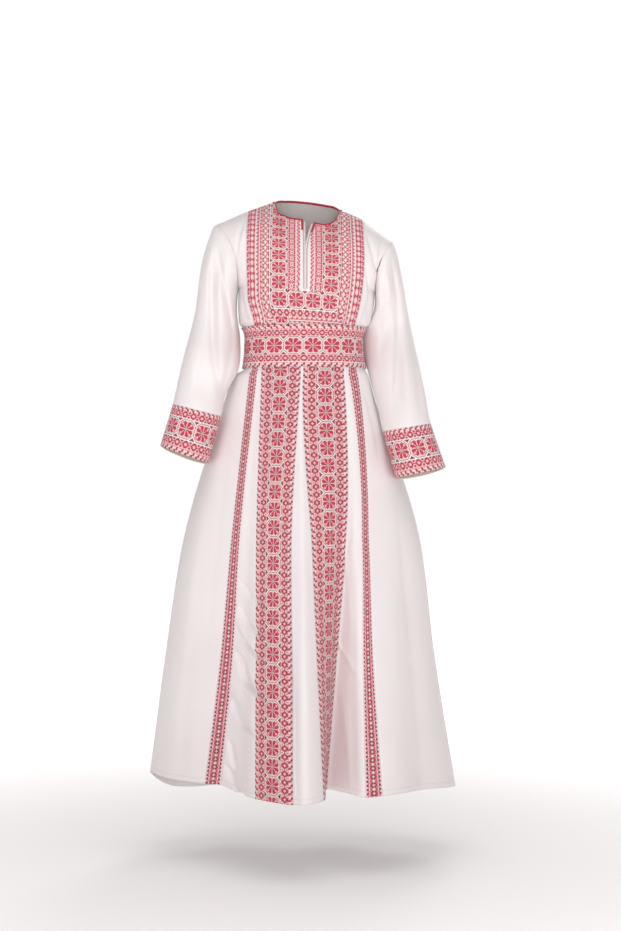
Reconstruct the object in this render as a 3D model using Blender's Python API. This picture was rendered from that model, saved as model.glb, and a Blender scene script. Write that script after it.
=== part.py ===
"""A Palestinian thobe with its belt, hollow, in the shape it takes on its wearer.

Metres, +Z up. The wearer faces -Y, so the wearer's right is -X. The origin is the middle of the neck
opening, at the height of the shoulder seams, where the dress hangs on the wearer.
"""

import math

import bmesh
import bpy
import numpy as np

for old in list(bpy.data.objects):
    bpy.data.objects.remove(old, do_unlink=True)

# Driving dimensions
CLOTH = 0.0016  # wall of the plain panels
STITCHED = 0.0020  # wall of the panels that carry cross stitch
BELT_WALL = 0.0022
BINDING_WALL = 0.0012
TAPE_WALL = 0.0010
SEAM = 0.0003  # gap between neighbouring pieces
BELT_EASE = 0.0015  # between the belt and the cloth under it

BELT_TOP = -0.288
BELT_FOOT = -0.385
WAIST_SEAM = -0.340  # bodice above, skirt below, hidden by the belt
SKIRT_FREE = -0.387  # from here down the skirt leaves the waist's shape
BELT_LINE = -0.402  # heights at which the skirt's lines are given
HAND_LINE = -0.770
KNEE_LINE = -1.060

BINDING_WIDTH = 0.0042
BINDING_FOOT = -0.072  # how far it runs down the slit's edges
BINDING_LIFT = 0.0005  # above the cloth it is sewn on
TAPE_SHOWS = 0.0037  # of each zip tape, inside the slit
TAPE_HIDDEN = 0.0060  # of each zip tape, behind the slit's edge
TAPE_SINK = 0.0012  # behind the cloth it is sewn to

ARMPIT_SHARE = 0.47  # share of the bodice's rise that lies below the armpits and the slit's foot
NECK_SHARE = 0.42  # share of the bodice's height that keeps its plain section
SHOULDER_CURL = 4.5  # how late the bodice turns in to the shoulder seams
EDGE_ROW = 0.025  # share of the height between the last two rows, by the neck and the shoulders
BODY_ROWS_LOW = 7
BODY_ROWS_HIGH = 10
SHOULDER_COLUMNS = 4  # of the chest panel, outside the neck edge on each side
NECK_COLUMNS = 7  # from each shoulder seam to the slit, or to the middle of the back
BACK_COLUMNS = 6  # outside the neck edge on each side
SKIRT_ROWS = 16
SLEEVE_ROWS = 13
BELT_COLUMNS = 56


def table(columns, *rows):
    """Named columns, one row for each section, line or fold."""
    return {name: np.array([row[i] for row in rows]) for i, name in enumerate(columns.split())}


# The body by height: the side seams' places, and how far front and back stand out.
# box is 1 for an ellipse, and less as the section gets squarer.
BODY = table(
    "       height  right    left    front    back   box",
    (-0.388, -0.1439, 0.1371, -0.117, 0.100, 1.00),
    (-0.338, -0.1396, 0.1284, -0.113, 0.094, 1.00),
    (-0.284, -0.1439, 0.1371, -0.117, 0.099, 1.00),
    (-0.262, -0.1520, 0.1500, -0.126, 0.105, 0.92),
    (-0.200, -0.1580, 0.1590, -0.132, 0.110, 0.90),
    (-0.120, -0.1580, 0.1590, -0.117, 0.110, 1.40),
    (-0.036, -0.1580, 0.1590, -0.078, 0.092, 1.90),
    (0.015, -0.1580, 0.1590, -0.078, 0.060, 1.90),
)

# The shoulder seams, from the neck out to the armhole.
SHOULDER_RIGHT = table(
    "   place      x       z",
    ("neck", -0.0760, 0.007),
    ("middle", -0.1380, -0.015),
    ("tip", -0.2080, -0.045),
)
SHOULDER_LEFT = table(
    "   place      x       z",
    ("neck", 0.0800, -0.012),
    ("middle", 0.1280, -0.033),
    ("tip", 0.2030, -0.087),
)

# The neck edge, from the wearer's right to left: front height, back height.
NECK = table(
    "     x    front     back",
    (-0.0760, 0.007, 0.007),
    (-0.0690, -0.014, 0.012),
    (-0.0480, -0.028, 0.016),
    (-0.0100, -0.0345, 0.016),
    (0.0220, -0.040, 0.012),
    (0.0560, -0.039, 0.004),
    (0.0730, -0.028, -0.004),
    (0.0800, -0.012, -0.012),
)
NECK_FRONT = -0.078
NECK_BACK = 0.060

# Sections of a sleeve, from armhole to cuff edge: the outermost and innermost points, how far front and
# back stand out, and how far the armhole seam bows in over the front.
SLEEVE_RIGHT = table(
    "section outer_x outer_z  inner_x inner_z  front   back   bow  drop",
    ("armhole", -0.208, -0.045, -0.160, -0.196, -0.066, 0.076, 0.016, 0.0),
    ("cap", -0.222, -0.060, -0.1625, -0.218, -0.076, 0.076, 0.010, 0.0),
    ("upper", -0.246, -0.140, -0.1630, -0.258, -0.080, 0.070, 0.0, 0.0),
    ("elbow", -0.262, -0.254, -0.1570, -0.318, -0.080, 0.060, 0.0, 0.0),
    ("forearm", -0.282, -0.346, -0.1700, -0.392, -0.100, 0.034, 0.0, 0.0),
    ("low", -0.297, -0.410, -0.1870, -0.446, -0.116, 0.008, 0.0, 0.0),
    ("cuff", -0.3097, -0.470, -0.2040, -0.499, -0.130, -0.012, 0.0, 0.0),
    ("edge", -0.3390, -0.566, -0.2310, -0.606, -0.142, -0.026, 0.0, 0.010),
)
SLEEVE_LEFT = table(
    "section outer_x outer_z  inner_x inner_z  front   back   bow  drop",
    ("armhole", 0.203, -0.087, 0.161, -0.205, -0.062, 0.074, 0.012, 0.0),
    ("cap", 0.212, -0.112, 0.1640, -0.226, -0.068, 0.078, 0.008, 0.0),
    ("upper", 0.227, -0.180, 0.1650, -0.256, -0.060, 0.086, 0.0, 0.0),
    ("elbow", 0.245, -0.272, 0.1450, -0.312, -0.032, 0.096, 0.0, 0.0),
    ("forearm", 0.263, -0.372, 0.1480, -0.402, -0.072, 0.050, 0.0, 0.0),
    ("low", 0.276, -0.445, 0.1680, -0.472, -0.102, 0.014, 0.0, 0.0),
    ("cuff", 0.288, -0.515, 0.1860, -0.533, -0.126, -0.012, 0.0, 0.0),
    ("edge", 0.3208, -0.611, 0.2100, -0.638, -0.140, -0.026, 0.0, 0.010),
)
CUFF_STARTS = 6  # row of both tables

# The long soft folds of the sleeves. Start and end are rows of the sleeve's table, the turns are in
# degrees at either end, and the depth is a share of the sleeve's half width.
SLEEVE_FOLDS = table(
    "side start  end  turn_start turn_end width depth",
    (-1, 0.4, 6.0, 66, 104, 16, 0.13),
    (-1, 0.6, 4.5, -70, -100, 18, 0.11),
    (1, 0.5, 6.0, 62, 100, 16, 0.12),
    (1, 0.7, 4.8, -72, -96, 18, 0.11),
)

# The embroidered chest panel's side edges, by height.
CHEST = table(
    "height   right    left",
    (-0.345, -0.118, 0.108),
    (-0.288, -0.1215, 0.113),
    (-0.270, -0.125, 0.118),
    (-0.235, -0.1355, 0.126),
    (-0.180, -0.1385, 0.133),
    (-0.060, -0.1385, 0.133),
    (0.010, -0.1370, 0.131),
)

# The edges of the slit below the neck, by height.
SLIT = table(
    "height   right    left",
    (-0.200, -0.0049, 0.0029),
    (-0.140, -0.0049, 0.0029),
    (-0.112, -0.0048, 0.0032),
    (-0.075, -0.0062, 0.0105),
    (-0.034, -0.0090, 0.0220),
)

# The skirt's lines, round from the wearer's right side over the front to the left and round the back.
# Each runs from the belt to the hem. Seams and the largest folds lie on them.
SKIRT = table(
    "line            belt_x  belt_y hand_x  hand_y  knee_x  knee_y  hem_x   hem_y   hem_z",
    ("side_right", -0.172, 0.034, -0.286, 0.005, -0.333, 0.010, -0.370, 0.030, -1.336),
    ("face_right", -0.148, -0.040, -0.234, -0.088, -0.273, -0.085, -0.312, -0.050, -1.339),
    ("narrow_right_out", -0.133, -0.068, -0.171, -0.134, -0.198, -0.140, -0.229, -0.125, -1.339),
    ("narrow_right_in", -0.113, -0.083, -0.152, -0.150, -0.170, -0.158, -0.199, -0.148, -1.338),
    ("gore_right", -0.1085, -0.085, -0.132, -0.160, -0.143, -0.185, -0.158, -0.192, -1.347),
    ("wide_right_out", -0.104, -0.088, -0.113, -0.176, -0.112, -0.232, -0.111, -0.280, -1.347),
    ("wide_right_mid", -0.058, -0.110, -0.073, -0.193, -0.071, -0.262, -0.072, -0.318, -1.348),
    ("wide_right_in", -0.013, -0.119, -0.033, -0.203, -0.034, -0.275, -0.034, -0.335, -1.351),
    ("centre", -0.010, -0.1195, -0.010, -0.212, -0.007, -0.290, -0.003, -0.345, -1.349),
    ("wide_left_in", -0.007, -0.1195, 0.012, -0.200, 0.025, -0.262, 0.039, -0.300, -1.347),
    ("wide_left_mid", 0.038, -0.114, 0.053, -0.182, 0.053, -0.215, 0.045, -0.245, -1.342),
    ("wide_left_out", 0.086, -0.092, 0.090, -0.160, 0.070, -0.175, 0.049, -0.185, -1.342),
    ("gore_left", 0.091, -0.089, 0.108, -0.168, 0.102, -0.205, 0.097, -0.232, -1.344),
    ("narrow_left_in", 0.096, -0.085, 0.126, -0.166, 0.129, -0.218, 0.135, -0.262, -1.347),
    ("narrow_left_out", 0.119, -0.066, 0.142, -0.156, 0.149, -0.212, 0.168, -0.255, -1.345),
    ("face_left", 0.133, -0.044, 0.203, -0.105, 0.224, -0.150, 0.252, -0.170, -1.347),
    ("side_left", 0.139, 0.010, 0.261, -0.015, 0.298, -0.025, 0.345, -0.035, -1.360),
    ("back_left_side", 0.116, 0.062, 0.240, 0.095, 0.276, 0.120, 0.318, 0.135, -1.374),
    ("back_left_trough", 0.072, 0.088, 0.135, 0.145, 0.165, 0.165, 0.195, 0.185, -1.382),
    ("back_left_ridge", 0.036, 0.102, 0.078, 0.180, 0.097, 0.225, 0.112, 0.262, -1.386),
    ("back_trough", -0.003, 0.104, 0.000, 0.168, 0.000, 0.192, -0.002, 0.215, -1.384),
    ("back_right_ridge", -0.042, 0.103, -0.085, 0.184, -0.106, 0.228, -0.122, 0.268, -1.390),
    ("back_right_trough", -0.080, 0.090, -0.150, 0.148, -0.184, 0.168, -0.214, 0.190, -1.392),
    ("back_right_side", -0.128, 0.070, -0.256, 0.105, -0.294, 0.125, -0.322, 0.150, -1.390),
)
SKIRT_LINES = list(SKIRT["line"])

# The skirt's panels: first and last line, columns of quads.
SKIRT_PANELS = table(
    "panel               from               to                columns  finish",
    ("skirt_side_right", "side_right", "narrow_right_out", 8, "satin"),
    ("band_narrow_right", "narrow_right_out", "narrow_right_in", 2, "stitched"),
    ("gore_right", "narrow_right_in", "wide_right_out", 6, "satin"),
    ("band_wide_right", "wide_right_out", "wide_right_in", 5, "stitched"),
    ("skirt_centre", "wide_right_in", "wide_left_in", 5, "satin"),
    ("band_wide_left", "wide_left_in", "wide_left_out", 7, "stitched"),
    ("gore_left", "wide_left_out", "narrow_left_in", 6, "satin"),
    ("band_narrow_left", "narrow_left_in", "narrow_left_out", 2, "stitched"),
    ("skirt_side_left", "narrow_left_out", "side_left", 8, "satin"),
    ("skirt_back_left", "side_left", "back_trough", 13, "satin"),
    ("skirt_back_right", "back_trough", "side_right", 13, "satin"),
)

COLOURS = table(
    "finish       red    green   blue   roughness",
    ("satin", 0.86, 0.83, 0.82, 0.45),
    ("stitched", 0.58, 0.16, 0.20, 0.80),
    ("binding", 0.60, 0.02, 0.05, 0.60),
    ("tape", 0.80, 0.74, 0.74, 0.70),
)


def eased(value):
    value = np.clip(value, 0.0, 1.0)
    return value * value * (3.0 - 2.0 * value)


def hermite(start, leave, end, arrive, share):
    """A cubic from start to end with the given slopes."""
    square = share * share
    cube = square * share
    blend = 3.0 * square - 2.0 * cube
    return (
        start * (1.0 - blend)
        + end * blend
        + leave * (cube - 2.0 * square + share)
        + arrive * (cube - square)
    )


def through(knots, keys, at):
    """A smooth curve through the keys, which lie at rising knots."""
    keys = np.asarray(keys, float)
    step = np.diff(np.asarray(knots, float))
    slope = np.diff(keys) / step
    inner = (slope[:-1] * step[1:] + slope[1:] * step[:-1]) / (step[:-1] + step[1:])
    tangent = np.concatenate([slope[:1], inner, slope[-1:]])
    at = np.clip(at, knots[0], knots[-1])
    i = np.clip(np.searchsorted(knots, at) - 1, 0, len(step) - 1)
    share = (at - knots[i]) / step[i]
    return hermite(keys[i], tangent[i] * step[i], keys[i + 1], tangent[i + 1] * step[i], share)


def stacked(x, y, z):
    return np.stack(np.broadcast_arrays(x, y, z), axis=-1)


def unit(vectors):
    return vectors / np.linalg.norm(vectors, axis=-1, keepdims=True)


# Body, armholes and sleeves


def sleeve(side, turn, along):
    """Points on a sleeve. turn is 0 at the outer side, a quarter at the front, a half at the inner side."""
    sections = SLEEVE_RIGHT if side < 0 else SLEEVE_LEFT
    turn, along = np.broadcast_arrays(turn, along)
    knots = np.arange(len(sections["section"]), dtype=float)
    value = {name: through(knots, sections[name], along) for name in sections if name != "section"}
    size = 1.0 - sleeve_fold(side, turn, along)
    out = np.cos(turn) * size
    forward = np.sin(turn) * size
    x = (value["outer_x"] + value["inner_x"] + (value["outer_x"] - value["inner_x"]) * out) / 2
    y = (value["front"] + value["back"] + (value["front"] - value["back"]) * forward) / 2
    z = (value["outer_z"] + value["inner_z"] + (value["outer_z"] - value["inner_z"]) * out) / 2
    bow = value["bow"] * forward**2
    drop = value["drop"] * np.maximum(-forward, 0.0)
    return stacked(x - side * bow, y, z - drop)


def sleeve_fold(side, turn, along):
    """How far the folds draw a sleeve in, as a share of its half width."""
    depth = np.zeros(turn.shape)
    folds = SLEEVE_FOLDS
    for i in np.flatnonzero(folds["side"] == side):
        share = (along - folds["start"][i]) / (folds["end"][i] - folds["start"][i])
        centre = folds["turn_start"][i] + (folds["turn_end"][i] - folds["turn_start"][i]) * share
        off = (np.degrees(turn) - centre + 180.0) % 360.0 - 180.0
        ends = eased(share * 4.0) * eased((1.0 - share) * 4.0)
        depth = depth + folds["depth"][i] * ends * np.exp(-((off / folds["width"][i]) ** 2))
    return depth


def armhole_turn(up, behind):
    """Where on the sleeve a place on the armhole lies, from the armpit at 0 to the shoulder's tip at 1."""
    return (-math.pi if behind else math.pi) * (1.0 - up)


def body_side(side, rise, behind):
    """The side seam from the waist to the armpit, and then the armhole over the front or the back."""
    pit = sleeve(side, math.pi, 0.0)
    low = np.clip(rise / ARMPIT_SHARE, 0.0, 1.0)
    z = WAIST_SEAM + (pit[2] - WAIST_SEAM) * low
    share = eased((z - BELT_TOP) / (pit[2] - BELT_TOP))
    column = BODY["right" if side < 0 else "left"]
    x = through(BODY["height"], column, z)
    x = x + (pit[0] - through(BODY["height"], column, pit[2])) * share
    seam = stacked(x, pit[1] * share, z)
    up = np.clip((rise - ARMPIT_SHARE) / (1.0 - ARMPIT_SHARE), 0.0, 1.0)
    hole = sleeve(side, armhole_turn(up, behind), 0.0)
    return np.where((rise <= ARMPIT_SHARE)[..., None], seam, hole)


def top_edge(x, behind):
    """Depth and height of the shoulder seams and the neck edge at a place across."""
    first = NECK["x"][0]
    last = NECK["x"][-1]
    across = np.clip((2.0 * x - first - last) / (last - first), -1.0, 1.0)
    y_neck = (NECK_BACK if behind else NECK_FRONT) * (1.0 - across**2) ** 0.55
    z_neck = through(NECK["x"], NECK["back" if behind else "front"], x)
    tip_right = sleeve(-1, 0.0, 0.0)
    tip_left = sleeve(1, 0.0, 0.0)
    y_right = tip_right[1] * (x - first) / (tip_right[0] - first)
    y_left = tip_left[1] * (x - last) / (tip_left[0] - last)
    z_right = through(-SHOULDER_RIGHT["x"], SHOULDER_RIGHT["z"], -x)
    z_left = through(SHOULDER_LEFT["x"], SHOULDER_LEFT["z"], x)
    y = np.where(x < first, y_right, np.where(x > last, y_left, y_neck))
    z = np.where(x < first, z_right, np.where(x > last, z_left, z_neck))
    return y, z


def body_plain(turn, rise, behind):
    """The bodice as a stack of sections, before the shoulders and the neck shape its top."""
    right = body_side(-1, rise, behind)
    left = body_side(1, rise, behind)
    side = np.where((turn < 0)[..., None], right, left)
    middle_x = (right[..., 0] + left[..., 0]) / 2
    neck_z = top_edge(np.array(0.0), behind)[1]
    middle_z = WAIST_SEAM + (neck_z - WAIST_SEAM) * rise
    middle_y = through(BODY["height"], BODY["back" if behind else "front"], middle_z)
    out = np.maximum(np.cos(turn), 0.0) ** through(BODY["height"], BODY["box"], middle_z)
    across = np.sin(turn)
    x = middle_x + np.abs(side[..., 0] - middle_x) * across
    y = side[..., 1] + (middle_y - side[..., 1]) * out
    z = middle_z + (side[..., 2] - middle_z) * across**2
    return stacked(x, y, z)


def body(turn, rise, behind=False):
    """Points on the bodice. turn is -90 degrees at the wearer's right side, 0 at the middle and 90 at
    the left; rise is 0 at the waist seam and 1 at the shoulder seams and the neck."""
    turn, rise = np.broadcast_arrays(turn, rise)
    plain = body_plain(turn, rise, behind)
    top = body_plain(turn, np.ones_like(rise, float), behind)
    y, z = top_edge(top[..., 0], behind)
    share = np.clip((rise - NECK_SHARE) / (1.0 - NECK_SHARE), 0.0, 1.0)
    plain[..., 1] += (y - top[..., 1]) * share**SHOULDER_CURL
    plain[..., 2] += (z - top[..., 2]) * eased(share)
    return plain


def back(turn, rise):
    return body(turn, rise, behind=True)


def normals(surface, across, along, across_limits, along_limits):
    """Unit normals from points a little either way, kept within the surface's limits."""
    step = 1e-4
    ahead = surface(np.minimum(across + step, across_limits[1]), along)
    before = surface(np.maximum(across - step, across_limits[0]), along)
    above = surface(across, np.minimum(along + step, along_limits[1]))
    below = surface(across, np.maximum(along - step, along_limits[0]))
    return unit(np.cross(ahead - before, above - below))


def body_normals(turn, rise, behind=False):
    quarter = math.pi / 2
    turn, rise = np.broadcast_arrays(turn, rise)
    found = normals(back if behind else body, turn, rise, (-quarter, quarter), (0.0, 1.0))
    return -found if behind else found


def sleeve_normals(side, turn, along):
    turn, along = np.broadcast_arrays(turn, along)
    last = len(SLEEVE_RIGHT["section"]) - 1.0
    found = normals(lambda a, b: sleeve(side, a, b), turn, along, (-9.0, 9.0), (0.0, last))
    return found * side


def mitre(*directions):
    """The shared direction of walls that meet at a seam. Walls folded back on each other keep their own."""
    total = sum(directions)
    size = np.linalg.norm(total, axis=-1, keepdims=True)
    return np.where(size > 0.5, total / np.maximum(size, 0.5), directions[0])


def shoulder_normals(turn):
    one = np.ones_like(turn)
    front = body_normals(turn, one)
    rear = body_normals(turn, one, behind=True)
    sides = np.where(turn < 0, -1.0, 1.0)[..., None]
    tip = np.where(
        turn[..., None] < 0,
        sleeve_normals(-1, np.zeros_like(turn), 0.0),
        sleeve_normals(1, np.zeros_like(turn), 0.0),
    )
    at_tip = (np.abs(np.sin(turn)) > 0.9999)[..., None]
    return np.where(at_tip & (sides != 0), mitre(front + rear + tip), mitre(front + rear))


# Making walls


def material(finish):
    found = bpy.data.materials.get(finish)
    if found:
        return found
    row = list(COLOURS["finish"]).index(finish)
    made = bpy.data.materials.new(finish)
    made.use_nodes = True
    shader = made.node_tree.nodes["Principled BSDF"]
    colour = [float(COLOURS[name][row]) for name in ("red", "green", "blue")]
    shader.inputs["Base Color"].default_value = (*colour, 1.0)
    shader.inputs["Roughness"].default_value = float(COLOURS["roughness"][row])
    shader.inputs["Metallic"].default_value = 0.0
    return made


def wall(name, points, out, thickness, finish, keep=None, closed=False):
    """A closed wall of cloth: a grid of outer points, the same grid a thickness further in, and rims."""
    rows, columns = points.shape[:2]
    used = np.ones((rows - 1, columns if closed else columns - 1), bool) if keep is None else keep
    made = bmesh.new()
    layers = []
    for grid in (points, points - out * thickness):
        layers.append({})
        for r in range(rows):
            for c in range(columns):
                layers[-1][r, c] = made.verts.new(grid[r, c])
    outer, inner = layers
    edges = set()
    for r, c in zip(*np.nonzero(used)):
        following = (c + 1) % columns
        corners = [(r, c), (r, following), (r + 1, following), (r + 1, c)]
        made.faces.new([outer[corner] for corner in corners])
        made.faces.new([inner[corner] for corner in reversed(corners)])
        edges.update(zip(corners, corners[1:] + corners[:1]))
    for start, end in sorted(edges):
        if (end, start) not in edges:
            made.faces.new([outer[end], outer[start], inner[start], inner[end]])
    bmesh.ops.delete(made, geom=[v for v in made.verts if not v.link_faces], context="VERTS")
    bmesh.ops.recalc_face_normals(made, faces=made.faces)
    mesh = bpy.data.meshes.new(name)
    made.to_mesh(mesh)
    made.free()
    mesh.shade_smooth()
    mesh.set_sharp_from_angle(angle=math.radians(50))
    mesh.materials.append(material(finish))
    piece = bpy.data.objects.new(name, mesh)
    bpy.context.collection.objects.link(piece)
    return piece


def trimmed(points, foot=True, head=True, first=True, last=True):
    """The same grid with its borders drawn in by half a seam's gap."""
    made = points.copy()
    if foot:
        made[0] += unit(points[1] - points[0]) * SEAM / 2
    if head:
        made[-1] += unit(points[-2] - points[-1]) * SEAM / 2
    if first:
        made[:, 0] += unit(points[:, 1] - points[:, 0]) * SEAM / 2
    if last:
        made[:, -1] += unit(points[:, -2] - points[:, -1]) * SEAM / 2
    return made


# Bodice


def turn_at(edge, column, rise, shift=0.0):
    """The turn at which an edge, given by height, crosses each row of the bodice's front."""
    turn = np.zeros_like(rise)
    for _ in range(16):
        point = body(turn, rise)
        side = body(np.where(turn < 0, -math.pi / 2, math.pi / 2), rise)
        middle = body(np.zeros_like(rise), rise)
        half = np.abs(side[:, 0] - middle[:, 0])
        want = through(edge["height"], edge[column], point[:, 2]) + shift
        turn = np.arcsin(np.clip(np.sin(turn) + (want - point[:, 0]) / half, -1.0, 1.0))
    return turn


def body_rows():
    low = np.linspace(0.0, ARMPIT_SHARE, BODY_ROWS_LOW)
    high = np.linspace(ARMPIT_SHARE, 1.0 - EDGE_ROW, BODY_ROWS_HIGH)
    return np.concatenate([low, high[1:], [1.0]])


def front_normals(turn, rise):
    """Normals of the front's grid, mitred at the shoulder seams and the armholes."""
    out = body_normals(turn, rise)
    neck_right, neck_left = neck_turns()
    shoulder = (turn[-1] <= neck_right + 1e-6) | (turn[-1] >= neck_left - 1e-6)
    out[-1] = np.where(shoulder[:, None], shoulder_normals(turn[-1]), out[-1])
    mitre_armholes(out, turn, rise, behind=False)
    return out


def mitre_armholes(out, turn, rise, behind):
    for side, column in ((-1, 0), (1, -1)):
        if abs(turn[0, column]) < math.pi / 2 - 1e-6:
            continue
        up = (rise[:, column] - ARMPIT_SHARE) / (1.0 - ARMPIT_SHARE)
        hole = (up > 0.0) & (up < 1.0)
        beyond = sleeve_normals(side, armhole_turn(np.clip(up, 0.0, 1.0), behind), 0.0)
        both = mitre(out[:, column], beyond)
        out[:, column] = np.where(hole[:, None], both, out[:, column])


def neck_turns():
    """The turns at which the neck edge meets the shoulder seams."""
    found = []
    for side, x in ((-1, NECK["x"][0]), (1, NECK["x"][-1])):
        tip = body(np.array(side * math.pi / 2), np.array(1.0))
        middle = body(np.array(0.0), np.array(1.0))
        found.append(float(np.arcsin((x - middle[0]) / abs(tip[0] - middle[0]))))
    return found


def make_front():
    rows = body_rows()
    chest_right = turn_at(CHEST, "right", rows)
    chest_left = turn_at(CHEST, "left", rows)
    quarter = np.full_like(rows, math.pi / 2)
    spans = (
        ("bodice_side_right", -quarter, chest_right),
        ("bodice_side_left", chest_left, quarter),
    )
    for name, start, end in spans:
        share = np.linspace(0.0, 1.0, 6)
        turn = start[:, None] + (end - start)[:, None] * share
        rise = np.broadcast_to(rows[:, None], turn.shape)
        out = front_normals(turn, rise)
        wall(name, trimmed(body(turn, rise)), out, CLOTH, "satin")
    turn = chest_turns(rows)
    rise = np.broadcast_to(rows[:, None], turn.shape)
    keep = np.ones((len(rows) - 1, turn.shape[1] - 1), bool)
    keep[BODY_ROWS_LOW - 1 :, SHOULDER_COLUMNS + NECK_COLUMNS] = False
    out = front_normals(turn, rise)
    wall("chest_panel", trimmed(body(turn, rise)), out, STITCHED, "stitched", keep=keep)


def chest_turns(rows):
    """The chest panel's columns, from its right edge to the slit and on to its left edge."""
    halves = []
    for column, bend in (("right", neck_turns()[0]), ("left", neck_turns()[1])):
        edge_turn = turn_at(CHEST, column, np.append(rows, 1.0))
        slit_turn = turn_at(SLIT, column, np.append(rows, 1.0))
        bent = (bend - edge_turn[-1]) / (slit_turn[-1] - edge_turn[-1])
        shoulder = np.linspace(0.0, bent, SHOULDER_COLUMNS + 1)
        neck = bent + (1.0 - bent) * (1.0 - np.cos(np.linspace(0.0, math.pi / 2, NECK_COLUMNS + 1)))
        share = np.concatenate([shoulder[:-1], neck])
        halves.append(edge_turn[:-1, None] + (slit_turn - edge_turn)[:-1, None] * share)
    return np.concatenate([halves[0], halves[1][:, ::-1]], axis=1)


def back_turns():
    """The back's columns, closest together where the neck edge leaves the shoulder seams."""
    quarter = math.pi / 2
    neck_right, neck_left = neck_turns()
    middle = (neck_right + neck_left) / 2
    neck = middle - (neck_left - neck_right) / 2 * np.cos(np.linspace(0.0, math.pi, 2 * NECK_COLUMNS + 1))
    right = np.linspace(-quarter, neck_right, BACK_COLUMNS + 1)
    left = np.linspace(neck_left, quarter, BACK_COLUMNS + 1)
    return np.concatenate([right[:-1], neck, left[1:]])


def make_back():
    turns = back_turns()
    turn, rise = np.meshgrid(turns, body_rows())
    neck_right, neck_left = neck_turns()
    out = body_normals(turn, rise, behind=True)
    shoulder = (turns <= neck_right + 1e-6) | (turns >= neck_left - 1e-6)
    out[-1] = np.where(shoulder[:, None], shoulder_normals(turns), out[-1])
    mitre_armholes(out, turn, rise, behind=True)
    wall("bodice_back", trimmed(back(turn, rise)), out, CLOTH, "satin")


def make_tapes():
    """The two tapes of the zip, behind the slit's edges, meeting edge to edge where it is closed."""
    rows = body_rows()
    rise = np.concatenate([[rows[BODY_ROWS_LOW - 1] - 0.03], rows[BODY_ROWS_LOW - 1 : -1], [0.985]])
    for side, column, name in ((-1, "right", "zip_tape_right"), (1, "left", "zip_tape_left")):
        shifts = (side * TAPE_HIDDEN, side * TAPE_HIDDEN / 2, -side * TAPE_SHOWS)
        turn = np.stack([turn_at(SLIT, column, rise, shift) for shift in shifts], axis=1)
        height = np.broadcast_to(rise[:, None], turn.shape)
        out = body_normals(turn, height)
        wall(name, body(turn, height) - out * (STITCHED + TAPE_SINK), out, TAPE_WALL, "tape")


def rise_below(turn, distance, behind):
    """The rise of a place some way below the neck edge."""
    near = np.full_like(turn, 0.99)
    run = np.linalg.norm(body(turn, np.ones_like(turn), behind) - body(turn, near, behind), axis=-1)
    return 1.0 - distance * 0.01 / run


def neck_station(turn, behind):
    """Edge and inner edge of the binding round the neck: turns and rises."""
    return turn, np.ones_like(turn), turn, rise_below(turn, BINDING_WIDTH, behind)


def slit_station(column, rise):
    outward = -BINDING_WIDTH if column == "right" else BINDING_WIDTH
    edge = turn_at(SLIT, column, rise)
    inner = turn_at(SLIT, column, rise, outward)
    inner_rise = np.minimum(rise, rise_below(inner, BINDING_WIDTH, False))
    return edge, rise, inner, inner_rise


def shoulder_station(side):
    """Where the neck edge meets a shoulder seam, the binding's inner edge lies on that seam."""
    turn = neck_turns()[0 if side < 0 else 1]
    beyond = turn + side * BINDING_WIDTH / 0.21 / math.cos(turn)
    return tuple(np.array([value]) for value in (turn, 1.0, beyond, 1.0))


def make_binding():
    """A narrow red strip, sewn round the neck edge and a little way down both edges of the slit."""
    top = float(SLIT["height"][-1])
    down = np.linspace((BINDING_FOOT - WAIST_SEAM) / (top - WAIST_SEAM), 1.0, 5)
    right = slit_station("right", down)
    left = slit_station("left", down[::-1])
    neck_right, neck_left = neck_turns()
    chest = chest_turns(np.array([1.0]))[0]
    rear = back_turns()
    front_right = chest[(chest > neck_right + 1e-6) & (chest < right[0][-1] - 1e-6)][::-1]
    front_left = chest[(chest < neck_left - 1e-6) & (chest > left[0][0] + 1e-6)][::-1]
    rear = rear[(rear > neck_right + 1e-6) & (rear < neck_left - 1e-6)]
    stretches = (
        (right, False),
        (neck_station(front_right, False), False),
        (shoulder_station(-1), None),
        (neck_station(rear, True), True),
        (shoulder_station(1), None),
        (neck_station(front_left, False), False),
        (left, False),
    )
    edges = []
    for at in (0, 2):
        points = []
        for station, behind in stretches:
            turn, rise = station[at], station[at + 1]
            seam = behind is None
            out = shoulder_normals(turn) if seam else body_normals(turn, rise, behind)
            points.append((body(turn, rise, bool(behind)), out))
        edges.append([np.concatenate(part) for part in zip(*points)])
    points = np.stack([edges[0][0], edges[1][0]])
    out = np.stack([edges[0][1], edges[1][1]])
    lifted = points + out * (BINDING_LIFT + BINDING_WALL)
    wall("neck_binding", lifted, out, BINDING_WALL, "binding")


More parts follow.
